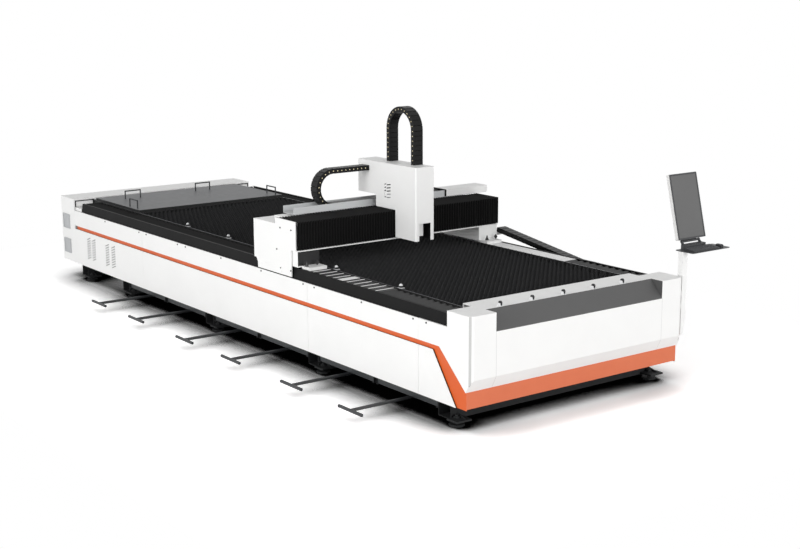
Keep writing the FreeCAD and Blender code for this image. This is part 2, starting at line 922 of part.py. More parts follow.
def rimSupport(x):
    # an angle inside the rim with a cup and a ball on it
    plate = box(x - supportHalf, x + supportHalf, -rimY, -rimY + supportReach, rimTop - supportSheet, rimTop)
    tab = box(x - supportHalf, x + supportHalf, -rimY, -rimY + supportSheet, rimTop - supportReach, rimTop)
    y = -rimY + supportReach / 2
    ballBase = rimTop + supportCupHeight
    cup = turned(x, y, [(supportCup, rimTop), (supportCup, ballBase)], supportSides)
    dome = [(supportBall * math.cos(math.radians(a)), ballBase + supportBall * math.sin(math.radians(a)))
            for a in domeAngles]
    return joined([plate, tab, cup, turned(x, y, dome, supportSides)])


rollerYs = [rollerFirstY + i * rollerPitchY for i in range(rollerCount)]
supportXs = [slatFirstX + slatPitch * (int(share * slatCount) + 0.5) for share in supportShares]
save("roller_brackets", [rollerBracket(y) for y in rollerYs] + [rimSupport(x) for x in supportXs])


def loadingRoller(y):
    half = rollerWidth / 2
    start = (rollerX, y - half, rollerHeight)
    end = (rollerX, y + half, rollerHeight)
    return rod(start, end, rollerRadius).cut(rod(start, end, rollerPin + pinClearance))


for number, y in enumerate(rollerYs, 1):
    save("loading_roller_" + str(number), loadingRoller(y))


# ---- scrap drawers: two in each bay between the cross tubes, drawn out to the side by a T bar ----
drawerMiddles = []
for rear, near in zip(crossTubeX[1:], crossTubeX[2:]):
    bayMiddle = (rear + near) / 2
    drawerMiddles += [bayMiddle - drawerOffset, bayMiddle + drawerOffset]


def drawer(x):
    half = drawerWidth / 2
    s = drawerSheet
    pan = box(x - half, x + half, drawerFrontY, drawerBackY, drawerBottom, drawerBottom + drawerHeight)
    pan = pan.cut(box(x - half + s, x + half - s, drawerFrontY + s, drawerBackY - s, drawerBottom + s,
                      drawerBottom + drawerHeight + cutMargin))
    rodX = x + rodOffset
    rodZ = drawerBottom - rodRadius + weldDepth
    stem = bar((rodX, handleY, rodZ), (rodX, rodInnerY, rodZ), rodRadius)
    grip = bar((rodX - handleLength / 2, handleY, rodZ), (rodX + handleLength / 2, handleY, rodZ), rodRadius)
    return joined([pan, stem, grip])


for number, x in enumerate(drawerMiddles, 1):
    save("scrap_drawer_" + str(number), drawer(x))


def drawerRunners(x):
    runners = []
    frameHalf = sideBeamY + sideBeamWidth / 2
    lower = drawerBottom - runnerClearance - runnerThickness
    for side in (-1, 1):
        inner = x + side * (drawerWidth / 2 + runnerClearance)
        outer = inner + side * runnerThickness
        reach = inner - side * runnerReach
        hung = crossTubeBottom + crossTubeHeight
        profile = [(outer, lower), (outer, hung), (inner, hung),
                   (inner, lower + runnerThickness), (reach, lower + runnerThickness), (reach, lower)]
        runners.append(prismY(profile, -frameHalf, frameHalf))
    return runners


save("drawer_runners", sum([drawerRunners(x) for x in drawerMiddles], []))


# ---- cable tray and chain of the long travel, outside the bed on the side away from the drawers ----
xAcross = FreeCAD.Vector(0, 1, 0)
xChainMiddleY = xChainY + linkWidth / 2
xChainLowZ = xTrayBottom + xTrayWall + chainGap + linkHeight / 2
xChainMiddleRadius = xChainRadius - linkHeight / 2
xChainAxisZ = xChainLowZ + xChainMiddleRadius
xBendReach = turnOverhang(xChainMiddleRadius, linkPitchX) + runningGap + linkLap / 2


def xPoint(x, z):
    return FreeCAD.Vector(x, xChainMiddleY, z)


def xTray():
    w = xTrayWall
    trough = box(xTrayFarX, xTrayNearX, xTrayInnerY, xTrayOuterY, xTrayBottom, xTrayTop)
    trough = trough.cut(box(xTrayFarX - cutMargin, xTrayNearX + cutMargin, xTrayInnerY + w, xTrayOuterY - w,
                            xTrayBottom + w, xTrayTop + cutMargin))
    seat = box(xChainFixedX, xChainFixedX + chainSeatLength, xTrayInnerY + w, xTrayOuterY - w,
               xTrayBottom + w, xTrayBottom + w + chainGap)
    trough = trough.fuse(seat)
    brackets = []
    for i in range(xTrayBrackets):
        x = xTrayFarX + (xTrayNearX - xTrayFarX) * (i + 0.5) / xTrayBrackets
        profile = [(halfWidth, xTrayBottom - xBracketDrop), (halfWidth, xTrayBottom),
                   (xTrayOuterY, xTrayBottom), (xTrayOuterY, xTrayBottom - xBracketNose)]
        brackets.append(prismX(profile, x - xBracketHalf, x + xBracketHalf))
    return joined([trough] + brackets)


save("x_chain_tray", xTray())
upwards = FreeCAD.Vector(0, 0, 1)
xBendX = xChainCentreX - xBendReach
lowRun = chainRun(xPoint(xChainFixedX, xChainLowZ), xPoint(xBendX, xChainLowZ), xAcross, linkPitchX)
save("x_chain_low_run", joined(lowRun))
xBend = chainTurn(xPoint(xChainCentreX, xChainAxisZ), xChainMiddleRadius, xAcross, upwards, linkPitchX)
save("x_chain_bend", joined(xBend))
xChainTopZ = xChainAxisZ + xChainMiddleRadius
xChainHighZ = xChainHighTop - linkHeight / 2
levelRun = chainRun(xPoint(xChainLeadX, xChainTopZ), xPoint(xBendX, xChainTopZ), xAcross, linkPitchX)
leadRun = chainRun(xPoint(xChainHighX, xChainHighZ), xPoint(xChainLeadX, xChainTopZ), xAcross, linkPitchX)
save("x_chain_top_run", joined(levelRun + leadRun))


# ---- operator console on a column at the loading end ----
def consoleColumn():
    half = columnSize / 2
    x = columnX + half
    y = columnY + half
    shaft = box(x - half, x + half, y - half, y + half, columnBottom + columnTaper, columnTop)
    tip = half * columnTipShare
    lower = Part.makePolygon([FreeCAD.Vector(x + a * tip, y + b * tip, columnBottom)
                              for a, b in [(-1, -1), (1, -1), (1, 1), (-1, 1), (-1, -1)]])
    upper = Part.makePolygon([FreeCAD.Vector(x + a * half, y + b * half, columnBottom + columnTaper)
                              for a, b in [(-1, -1), (1, -1), (1, 1), (-1, 1), (-1, -1)]])
    taper = Part.makeLoft([lower, upper], True, True)
    plate = box(x - half - columnPlate, x + half + columnPlate, halfWidth, halfWidth + sheetWall,
                columnArmZ[0] - columnPlate / 2, columnArmZ[1] + columnArm + columnPlate / 2)
    arms = [box(x - columnArm / 2, x + columnArm / 2, halfWidth, columnY, z, z + columnArm)
            for z in columnArmZ]
    return joined([shaft, taper, plate] + arms)


save("console_column", consoleColumn())


def keyboardTray():
    x0, x1 = consoleTrayX
    y0, y1 = consoleTrayY
    plate = box(x0, x1, y0, y1, consoleTrayBottom, consoleTrayBottom + consoleTraySheet)
    corners = [e for e in plate.Edges if e.BoundBox.ZLength > edgeMargin]
    plate = plate.makeFillet(consoleTrayRadius, corners)
    top = consoleTrayBottom + consoleTraySheet
    standRight = standLeftY + standWidth
    stand = box(standRearX, standRearX + standDepth, standLeftY, standRight, top, top + standHeight)
    ears = []
    for y in (standLeftY + earInset, standRight - earInset - earSheet):
        lower = top + standHeight
        profile = [(standRearX, top), (standRearX + earReach, top), (standRearX + earReach, lower),
                   (monitorPivotX + earRadius, monitorPivotZ), (monitorPivotX - earRadius, monitorPivotZ),
                   (standRearX, lower - earRadius)]
        strap = prismY(profile, y, y + earSheet)
        eye = rod((monitorPivotX, y, monitorPivotZ), (monitorPivotX, y + earSheet, monitorPivotZ), earRadius)
        ears.append(strap.fuse(eye))
    whole = joined([plate, stand] + ears)
    hole = rod((monitorPivotX, standLeftY - cutMargin, monitorPivotZ),
               (monitorPivotX, standRight + cutMargin, monitorPivotZ), pivotRadius + pinClearance)
    return whole.cut(hole)


save("keyboard_tray", keyboardTray())


def monitor():
    # upright slab with a recessed screen, drawn about the pivot and then leaned back
    front = monitorPivotX + monitorFront
    rear = front - monitorThickness
    bottom = monitorPivotZ + monitorLift
    right = monitorLeftY + monitorWidth
    slab = box(rear, front, monitorLeftY, right, bottom, bottom + monitorHeight)
    sides = [e for e in slab.Edges if e.BoundBox.XLength > edgeMargin]
    slab = slab.makeFillet(monitorCornerRadius, sides)
    slab = slab.cut(box(front - bezelDepth, front + cutMargin, monitorLeftY + bezelWidth, right - bezelWidth,
                        bottom + bezelWidth, bottom + monitorHeight - bezelWidth))
    inner = standLeftY + earInset + earSheet + runningGap
    outer = standLeftY + standWidth - earInset - earSheet - runningGap
    barrel = rod((monitorPivotX, inner, monitorPivotZ), (monitorPivotX, outer, monitorPivotZ), barrelRadius)
    pin = rod((monitorPivotX, inner - earSheet, monitorPivotZ),
              (monitorPivotX, outer + earSheet, monitorPivotZ), pivotRadius)
    bracket = prismY([(rear - bracketDepth, bottom), (monitorPivotX - barrelRadius, monitorPivotZ),
                      (monitorPivotX, monitorPivotZ), (monitorPivotX, bottom), (rear, bottom),
                      (rear, bottom + bracketRise)], inner + bracketInset, outer - bracketInset)
    whole = joined([slab, barrel, pin, bracket])
    whole.rotate(FreeCAD.Vector(monitorPivotX, 0, monitorPivotZ), FreeCAD.Vector(0, 1, 0), -monitorLean)
    return whole


save("monitor", monitor())


def keyboard():
    base = consoleTrayBottom + consoleTraySheet
    rear, front = keyboardX
    profile = [(rear, base), (front, base), (front, base + keyboardFrontHeight),
               (rear, base + keyboardRearHeight)]
    board = prismY(profile, keyboardY[0], keyboardY[1])
    tops = [e for e in board.Edges if e.BoundBox.ZMin > base + edgeMargin]
    return board.makeChamfer(keyboardBevel, tops)


save("keyboard", keyboard())


def mouse():
    base = consoleTrayBottom + consoleTraySheet
    body = box(mouseX[0], mouseX[1], mouseY[0], mouseY[1], base, base + mouseHeight)
    uprights = [e for e in body.Edges if e.BoundBox.ZLength > edgeMargin]
    body = body.makeFillet(mouseCornerRadius, uprights)
    top = [e for e in body.Edges if e.BoundBox.ZMin > base + edgeMargin]
    return body.makeChamfer(mouseBevel, top)


save("mouse", mouse())


# ---- gantry beam: a square tube with a light strip below its front face ----
def gantryBeam():
    w = beamWall
    outer = box(gantryRearX, gantryFrontX, -beamHalfSpan, beamHalfSpan, beamBottom, beamTop)
    beam = outer.cut(box(gantryRearX + w, gantryFrontX - w, -beamHalfSpan - cutMargin,
                         beamHalfSpan + cutMargin, beamBottom + w, beamTop - w))
    strip = box(gantryFrontX - w, bellowsFrontX, -footInnerY, footInnerY, beamBottom - flangeThickness,
                beamBottom)
    nose = box(footFrontX, bellowsFrontX, -footOuterY, footOuterY, beamBottom - flangeThickness, beamBottom)
    return joined([beam, strip, nose])


save("gantry_beam", gantryBeam())


def footPieces(side):
    # welded foot, two bearing blocks over the rail, a toe plate in front and two buffers on it
    middle = (footInnerY + footOuterY) / 2
    w = beamWall
    inner, outer = sorted((side * footInnerY, side * footOuterY))
    foot = box(footRearX, footFrontX, inner, outer, footBottom, beamBottom)
    foot = foot.cut(box(footRearX - cutMargin, footFrontX - w, inner + w, outer - w, footBottom + w,
                        beamBottom - w))
    toeInner, toeOuter = sorted((side * footInnerY, side * railBellowsOuterY))
    toe = box(footFrontX, toePlateFrontX, toeInner, toeOuter, railBellowsTop + runningGap,
              footBottom + toePlateThickness)
    base = footBottom + toePlateThickness
    y = side * middle
    tip = (bufferTipRadius, base + bufferHeight)
    cone = turned(bufferX, y - bufferSpread, [(bufferRadius, base), tip], bufferSides)
    waisted = [(bufferTipRadius, base), (bufferRadius, base + bufferHeight / 2), tip]
    pieces = [joined([foot, toe]), cone, turned(bufferX, y + bufferSpread, waisted, bufferSides)]
    railTop = troughFloor + railHeight + runningGap
    groove = railWidth / 2 + runningGap
    for x in blockCarX:
        blockHalf = blockCarLength / 2
        car = box(x - blockHalf, x + blockHalf, side * railY - blockCarWidth / 2,
                  side * railY + blockCarWidth / 2, troughFloor + blockCarLift, footBottom)
        pieces.append(car.cut(box(x - blockHalf - cutMargin, x + blockHalf + cutMargin, side * railY - groove,
                                  side * railY + groove, troughFloor, railTop)))
    return pieces


save("gantry_feet", footPieces(-1) + footPieces(1))


# ---- drives of the long travel: a closed gear housing over the rack, a gearbox and a motor on the foot ----
def driveUnit(side):
    x0 = footRearX
    inner, outer = sorted((side * (rackY - gearHousingInset), side * (rackY + rackWidth)))
    gears = box(x0, x0 + gearHousingLength, inner, outer, troughFloor + rackHeight + runningGap, footBottom)
    x = x0 + driveInset + gearboxSize / 2
    y = side * driveY
    half = gearboxSize / 2
    gearbox = box(x - half, x + half, y - half, y + half, beamBottom, beamBottom + gearboxHeight)
    motor = Part.makeCylinder(motorRadius, motorHeight, FreeCAD.Vector(x, y, beamBottom + gearboxHeight))
    return [gears, joined([gearbox, motor])]


save("x_drive_motors", driveUnit(-1) + driveUnit(1))


# ---- folded sheet covers at the beam's ends ----
def endCover():
    w = coverSheet
    outer = -endPlateOuterY
    plateInner = outer + endPlateThickness
    chin = beamBottom - coverSheet
    outline = [(coverRearX, footBottom - coverDrop), (coverRearX, coverPlateTop), (coverStepX, coverStepTop),
               (coverStepX, coverTop), (coverFrontX, coverTop), (coverFrontX, chin), (skirtFrontX, chin),
               (skirtFrontX, skirtLowZ), (skirtRearX, skirtLowZ), (skirtRearX, skirtStepZ),
               (skirtRearX - coverCorner, footBottom - coverDrop)]
    plate = prismY(outline, outer, plateInner)
    access = prismY([(accessX[0], accessZ[0]), (accessX[1], accessZ[0]), (accessX[1], accessZ[1]),
                     (accessX[0], accessZ[1])], outer - accessSheet, outer)
    roof = prismZ([(coverRearX, plateInner), (coverStepX, plateInner), (coverStepX, -beamHalfSpan - w),
                   (gantryRearX - w, -beamHalfSpan - w), (gantryRearX - w, -footInnerY),
                   (coverRearX, -footInnerY)], coverRoofZ, coverRoofZ + w)
    rear = box(coverRearX, coverRearX + w, plateInner, -footInnerY, footBottom + coverLift, coverRoofZ)
    side = prismY([(coverRearX + w, footBottom + coverLift), (footRearX - w, footBottom + coverLift),
                   (footRearX - w, beamBottom), (gantryRearX - w, beamBottom), (gantryRearX - w, coverRoofZ),
                   (coverRearX + w, coverRoofZ)], -footInnerY - w, -footInnerY)
    return joined([plate, access, roof, rear, side])


def chainArm():
    # plate and folded arm that carry the high end of the long travel's cable chain
    length, height, sheet = chainPlate
    y = endPlateOuterY + sheet
    tip = y + chainArmLength + linkWidth / 2
    plate = box(skirtFrontX - length, skirtFrontX, endPlateOuterY, y, chainPlateTop - height, chainPlateTop)
    front = xChainHighX - chainEndGap
    low = chainPlateTop - height + chainArmLift
    shelf = box(front - chainArmLength, front, y, tip, low, low + chainArmSheet)
    stop = box(front - chainArmSheet, front, y, tip, low + chainArmSheet, low + chainArmHeight)
    return [plate, shelf, stop]


save("gantry_end_cover_left", endCover())
save("gantry_end_cover_right", joined([mirrored(endCover())] + chainArm()))


# ---- rails and rack of the cross travel on the beam's front face ----
def crossRails():
    half = yRailWidth / 2
    bars = [box(gantryFrontX, gantryFrontX + yRailDepth, -beamHalfSpan, beamHalfSpan, z - half, z + half)
            for z in yRailHeights]
    middle = sum(yRailHeights) / 2
    rackHalf = rackHeight / 2
    bars.append(box(gantryFrontX, gantryFrontX + yRackDepth, -beamHalfSpan, beamHalfSpan, middle - rackHalf,
                    middle + rackHalf))
    return bars


save("y_rails", crossRails())


# ---- pleated covers of the cross travel: an angle-shaped sheet over the beam's top and front ----
def beamRing(y, folded):
    d = bellowsDepth * folded
    t = bellowsSheet
    front = bellowsFrontX - d
    top = bellowsTop - d
    profile = [(bellowsRearX, top), (front, top), (front, bellowsBottom), (front - t, bellowsBottom),
               (front - t, top - t), (bellowsRearX, top - t)]
    return [FreeCAD.Vector(x, y, z) for x, z in profile]


def beamBellows(start, end):
    return pleated([beamRing(y, folded) for y, folded in pleatStations(start, end, bellowsPitch)])


headLeft = headY - housingWidth / 2
headRight = headY + housingWidth / 2
plateInnerY = endPlateOuterY - endPlateThickness
save("beam_bellows_left", beamBellows(-plateInnerY, headLeft - runningGap))
save("beam_bellows_right", beamBellows(headRight + runningGap, plateInnerY))


# ---- pleated covers of the long travel, open behind the gantry and packed in front of it ----
def railRing(side, x, folded):
    top = railBellowsTop - railBellowsDepth * folded
    low = top - bellowsSheet
    inner = side * railBellowsInnerY
    outer = side * railBellowsOuterY
    return [FreeCAD.Vector(x, y, z) for y, z in [(inner, low), (outer, low), (outer, top), (inner, top)]]


def railBellows(side, start, end):
    return pleated([railRing(side, x, folded) for x, folded in pleatStations(start, end, railBellowsPitch)])


def openStrip(side):
    inner, outer = sorted((side * railBellowsInnerY, side * railBellowsOuterY))
    return box(footFrontX + stripInset, packRearX, inner, outer, railBellowsTop - bellowsSheet,
               railBellowsTop)


def ribs():
    pieces = []
    step = (packRearX - toePlateFrontX) / ribCount
    for i in range(ribCount):
        x = toePlateFrontX + step * (i + 0.5)
        half = (wideRibWidth if i == wideRib else ribWidth) / 2
        pieces.append(box(x - half, x + half, -railBellowsOuterY, -railBellowsInnerY,
                          railBellowsTop, railBellowsTop + ribHeight))
    return pieces


blockRearX = halfLength - blockLength
save("rail_bellows_front", [railBellows(side, packRearX, blockRearX) for side in (-1, 1)]
     + [openStrip(side) for side in (-1, 1)] + ribs())
save("rail_bellows_rear", [railBellows(side, troughFarX, footRearX) for side in (-1, 1)])


# ---- cable chain of the cross travel: a tray along the beam, a closed cover at its right end ----
def yTray():
    w = traySheet
    tray = box(trayRearX, trayFrontX, trayLeftY, trayRightY, trayBottom, trayTop)
    tray = tray.cut(box(trayRearX + w, trayFrontX - w, trayLeftY - cutMargin, trayRightY + cutMargin,
                        trayBottom + w, trayTop + cutMargin))
    spacers = []
    for i in range(traySpacers):
        y = -beamHalfSpan + 2 * beamHalfSpan * (i + 0.5) / traySpacers
        spacers.append(box(trayRearX + spacerInset, trayFrontX - spacerInset, y - spacerHalf,
                           y + spacerHalf, beamTop, trayBottom))
    return joined([tray] + spacers)


save("y_chain_tray", yTray())


def yCover():
    w = traySheet
    gap = runningGap
    outer = box(trayRearX - gap - w, trayFrontX + gap + w, trayCoverY, trayRightY + gap + w, trayBottom + w,
                trayTop + gap + w)
    return outer.cut(box(trayRearX - gap, trayFrontX + gap, trayCoverY - cutMargin, trayRightY + gap,
                         trayBottom, trayTop + gap))


save("y_chain_cover", yCover())

yAcross = FreeCAD.Vector(1, 0, 0)
yChainMiddleX = yChainX + linkWidth / 2
yChainLowZ = trayBottom + traySheet + chainGap + linkHeight / 2
yChainMiddleRadius = yChainRadius - linkHeight / 2
yChainAxisZ = yChainLowZ + yChainMiddleRadius
yBendReach = turnOverhang(yChainMiddleRadius, linkPitch) + runningGap + linkLap / 2


def yPoint(y, z):
    return FreeCAD.Vector(yChainMiddleX, y, z)


yBendY = yChainCentreY + yBendReach
lowRun = chainRun(yPoint(yBendY, yChainLowZ), yPoint(yChainFixedY, yChainLowZ), yAcross, linkPitch)
save("y_chain_low_run", joined(lowRun))
yBend = chainTurn(yPoint(yChainCentreY, yChainAxisZ), yChainMiddleRadius, yAcross, upwards, linkPitch)
save("y_chain_bend", joined(yBend))
topZ = yChainAxisZ + yChainMiddleRadius
topRun = chainRun(yPoint(yBendY, topZ), yPoint(headLeft - linkLap / 2, topZ), yAcross, linkPitch)
save("y_chain_top_run", joined(topRun))


# ---- carriage: a thick plate on four bearing blocks, with the rails of the head feed on its front ----
def carriagePieces():
    inset = housingSheet
    plate = box(carriagePlateX, carriagePlateX + carriagePlateThickness, headLeft + inset, headRight - inset,
                housingBottom + carriageLift, carriagePlateTop)
    pieces = [plate]
    half = yCarWidth / 2
    railHalf = yRailWidth / 2 + runningGap
    for z in yRailHeights:
        for side in (-1, 1):
            y = headY + side * yCarSpread
            car = box(gantryFrontX + yCarGap, carriagePlateX, y - yCarLength / 2, y + yCarLength / 2,
                      z - half, z + half)
            pieces.append(car.cut(box(gantryFrontX, gantryFrontX + yRailDepth + runningGap, y - yCarLength,
                                      y + yCarLength, z - railHalf, z + railHalf)))
    front = carriagePlateX + carriagePlateThickness
    for side in (-1, 1):
        y = headY + side * zRailSpread
        pieces.append(box(front, front + zRailDepth, y - zRailWidth / 2, y + zRailWidth / 2, zRailBottom,
                          zRailTop))
    return pieces


save("carriage_plate", carriagePieces())


def headHousing():
    # sheet shell that steps over the pleated covers, open below and behind, with a mouth for the head
    s = housingSheet
    stepZ = bellowsTop + housingClear
    outline = [(housingRearX, housingTailBottom), (housingRearX, housingTop), (housingFrontX, housingTop),
               (housingFrontX, housingBottom), (bellowsFrontX, housingBottom), (bellowsFrontX, stepZ),
               (housingTailX, stepZ), (housingTailX, housingTailBottom)]
    shell = prismY(outline, headLeft, headRight)
    uprights = [e for e in shell.Edges if e.BoundBox.XMin > housingFrontX - edgeMargin
                and e.BoundBox.ZLength > housingCornerRadius]
    shell = shell.makeFillet(housingCornerRadius, uprights)
    reach = housingClear + s
    low = housingBottom - cutMargin
    hollow = [(housingRearX + s, housingTailBottom + s), (housingRearX + s, housingTop - s),
              (housingFrontX - s, housingTop - s), (housingFrontX - s, low), (bellowsFrontX - reach, low),
              (bellowsFrontX - reach, stepZ - reach), (housingTailX - reach, stepZ - reach),
              (housingTailX - reach, housingTailBottom + s)]
    shell = shell.cut(prismY(hollow, headLeft + s, headRight - s))
    shell = shell.cut(box(housingFrontX - s - cutMargin, housingFrontX + cutMargin, headLeft + mouthLeft,
                          headRight - mouthRight, low, mouthTop))
    for x in zLegXs:
        legHalf = linkHeight / 2 + runningGap
        shell = shell.cut(box(x - legHalf, x + legHalf, zChainY - runningGap,
                              zChainY + linkWidth + runningGap, housingTop - s - cutMargin,
                              housingTop + cutMargin))
    slots = []
    for i in range(louvreRows):
        for x, length in zip(louvreX, louvreLengths):
            z = louvreZ + i * louvrePitch
            high = z + louvreRise
            slots.append(prismY([(x, z), (x + length, high), (x + length, high + louvreHeight),
                                 (x, z + louvreHeight)], headLeft - cutMargin, headLeft + s + cutMargin))
    return shell.cut(Part.makeCompound(slots))


zChainRadius = (zChainWidth - linkHeight) / 2
zChainAxisX = zChainRearX + zChainWidth / 2
zLegXs = [zChainAxisX - zChainRadius, zChainAxisX + zChainRadius]
save("head_housing", headHousing())

# ---- cable chain of the head feed, standing as a loop out of the housing ----
zAcross = FreeCAD.Vector(0, -1, 0)
zChainMiddleY = zChainY + linkWidth / 2
zChainAxisZ = zChainTop - zChainWidth / 2
zLoop = chainTurn(FreeCAD.Vector(zChainAxisX, zChainMiddleY, zChainAxisZ), zChainRadius, zAcross,
                  FreeCAD.Vector(1, 0, 0), linkPitch)
for x in zLegXs:
    zLoop += chainRun(FreeCAD.Vector(x, zChainMiddleY, zChainLegEnd),
                      FreeCAD.Vector(x, zChainMiddleY, zChainAxisZ), zAcross, linkPitch)
save("z_chain_loop", joined(zLoop))


# ---- laser head: slide plate on the feed rails, an arm, the barrel, its cover and the nozzle ----
def laserHeadBody():
    front = carriagePlateX + carriagePlateThickness
    carFront = front + zRailDepth + zCarWall
    slide = box(carFront, carFront + slideThickness, headY - slideHalf, headY + slideHalf, slideBottom,
                slideTop)
    pieces = [slide]
    for z in zCarHeights:
        for side in (-1, 1):
            y = headY + side * zRailSpread
            car = box(front + yCarGap, carFront, y - zCarWidth / 2, y + zCarWidth / 2, z - zCarLength / 2,
                      z + zCarLength / 2)
            railHalf = zRailWidth / 2 + runningGap
            pieces.append(car.cut(box(front, front + zRailDepth + runningGap, y - railHalf, y + railHalf,
                                      z - zCarLength, z + zCarLength)))
    arm = box(carFront + slideThickness, nozzleX, headY - armHalf, headY + armHalf, armBottom, armTop)
    barrel = Part.makeCylinder(headBarrelRadius, headBarrelTop - headCoverBottom,
                               FreeCAD.Vector(nozzleX, headY, headCoverBottom))
    return joined(pieces + [arm, barrel])


save("laser_head_body", laserHeadBody())


def cuttingNozzle():
    bore = nozzleBore
    profile = [(bore, nozzleTip), (nozzleTipRadius, nozzleTip),
               (nozzleConeRadius, nozzleTip + nozzleConeHeight),
               (nozzleNeckRadius, nozzleTip + nozzleConeHeight), (nozzleTopRadius, nozzleShoulder),
               (nozzleTopRadius, headCoverBottom), (bore, headCoverBottom)]
    points = [FreeCAD.Vector(nozzleX + r, headY, z) for r, z in profile]
    return face(points).revolve(FreeCAD.Vector(nozzleX, headY, 0), FreeCAD.Vector(0, 0, 1), 360)


save("cutting_nozzle", cuttingNozzle())


def headCover():
    # rounded hood round the barrel, open behind and below
    x0 = nozzleX - headCoverDepth / 2
    x1 = nozzleX + headCoverDepth / 2
    y0 = headY - headCoverWidth / 2
    y1 = headY + headCoverWidth / 2
    s = headCoverSheet
    hood = box(x0, x1, y0, y1, headCoverBottom, headCoverTop)
    uprights = [e for e in hood.Edges if e.BoundBox.XMin > x1 - edgeMargin
                and e.BoundBox.ZLength > headCoverRadius]
    hood = hood.makeFillet(headCoverRadius, uprights)
    hollow = box(x0 - cutMargin, x1 - s, y0 + s, y1 - s, headCoverBottom + s, headCoverTop + cutMargin)
    inner = [e for e in hollow.Edges if e.BoundBox.XMin > x1 - s - edgeMargin
             and e.BoundBox.ZLength > headCoverRadius]
    hood = hood.cut(hollow.makeFillet(headCoverRadius - s, inner))
    base = FreeCAD.Vector(nozzleX, headY, headCoverBottom - s)
    opening = Part.makeCylinder(headBarrelRadius + runningGap, s * 3, base)
    return hood.cut(opening)


save("head_cover", headCover())
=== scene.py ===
import bpy
import bmesh
import json
import math
from mathutils import Matrix, Vector

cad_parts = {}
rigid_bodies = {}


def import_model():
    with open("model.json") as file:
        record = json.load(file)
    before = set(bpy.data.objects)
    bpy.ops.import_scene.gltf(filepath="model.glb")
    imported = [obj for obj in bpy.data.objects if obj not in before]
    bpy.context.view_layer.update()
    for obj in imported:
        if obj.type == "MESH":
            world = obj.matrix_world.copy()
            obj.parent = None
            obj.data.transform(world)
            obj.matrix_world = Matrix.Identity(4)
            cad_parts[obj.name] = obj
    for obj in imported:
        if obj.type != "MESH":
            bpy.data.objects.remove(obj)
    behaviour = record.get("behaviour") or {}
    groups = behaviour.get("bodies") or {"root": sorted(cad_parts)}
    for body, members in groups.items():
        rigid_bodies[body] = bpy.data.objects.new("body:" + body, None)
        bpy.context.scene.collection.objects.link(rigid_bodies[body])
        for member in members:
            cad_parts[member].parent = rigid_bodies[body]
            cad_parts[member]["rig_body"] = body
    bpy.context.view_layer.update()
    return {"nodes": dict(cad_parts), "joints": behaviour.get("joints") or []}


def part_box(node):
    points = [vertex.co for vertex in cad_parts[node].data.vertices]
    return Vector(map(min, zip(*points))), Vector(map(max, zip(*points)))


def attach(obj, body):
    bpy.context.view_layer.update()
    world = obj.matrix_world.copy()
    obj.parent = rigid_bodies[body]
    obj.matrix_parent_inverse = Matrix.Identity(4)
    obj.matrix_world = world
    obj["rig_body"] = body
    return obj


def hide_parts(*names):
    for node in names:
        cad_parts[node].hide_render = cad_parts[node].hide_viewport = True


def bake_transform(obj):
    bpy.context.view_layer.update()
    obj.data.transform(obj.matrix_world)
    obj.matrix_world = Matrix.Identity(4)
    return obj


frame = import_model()

# A fiber laser cutting machine in a plain studio. Metres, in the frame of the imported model:
# X runs along the bed to the loading end, -Y is the drawer side, Z is up from the floor.

nodes = frame["nodes"]
bpy.ops.object.select_all(action="DESELECT")


def toLinear(code):
    channels = [int(code[i:i + 2], 16) / 255 for i in (1, 3, 5)]
    return [c / 12.92 if c <= 0.04045 else ((c + 0.055) / 1.055) ** 2.4 for c in channels] + [1.0]


def addNode(tree, kind, inputs=None, **settings):
    node = tree.nodes.new(kind)
    for key, value in settings.items():
        setattr(node, key, value)
    for key, value in (inputs or {}).items():
        if isinstance(value, bpy.types.NodeSocket):
            tree.links.new(value, node.inputs[key])
        else:
            node.inputs[key].default_value = value
    return node


def perMetre(millimetres):
    return 1000.0 / millimetres  # noise scale that repeats about once in so many millimetres


def newMaterial(name, roughness, metallic=0.0, **sockets):
    material = bpy.data.materials.new(name)
    material.use_nodes = True
    tree = material.node_tree
    shader = tree.nodes["Principled BSDF"]
    shader.inputs["Roughness"].default_value = roughness
    shader.inputs["Metallic"].default_value = metallic
    for key, value in sockets.items():
        shader.inputs[key.replace("_", " ")].default_value = value
    return material, tree, shader


def objectPlace(tree, stretch=(1, 1, 1)):
    place = addNode(tree, "ShaderNodeTexCoord").outputs["Object"]
    return addNode(tree, "ShaderNodeMapping", {"Vector": place, "Scale": stretch}).outputs["Vector"]


def variedColour(tree, place, lowCode, highCode, sizeMm, detail=3.0):
    cloud = addNode(tree, "ShaderNodeTexNoise",
                    {"Vector": place, "Scale": perMetre(sizeMm), "Detail": detail})
    blend = addNode(tree, "ShaderNodeMix", {"Factor": cloud.outputs["Fac"]}, data_type="RGBA")
    blend.inputs["A"].default_value = toLinear(lowCode)
    blend.inputs["B"].default_value = toLinear(highCode)
    return blend.outputs["Result"]


def variedRoughness(tree, shader, place, low, high, sizeMm):
    cloud = addNode(tree, "ShaderNodeTexNoise", {"Vector": place, "Scale": perMetre(sizeMm), "Detail": 4.0})
    spread = addNode(tree, "ShaderNodeMapRange",
                     {"Value": cloud.outputs["Fac"], "To Min": low, "To Max": high})
    tree.links.new(spread.outputs["Result"], shader.inputs["Roughness"])


def surfaceBump(tree, shader, height, strength, distance):
    bump = addNode(tree, "ShaderNodeBump", {"Height": height, "Strength": strength, "Distance": distance})
    tree.links.new(bump.outputs["Normal"], shader.inputs["Normal"])


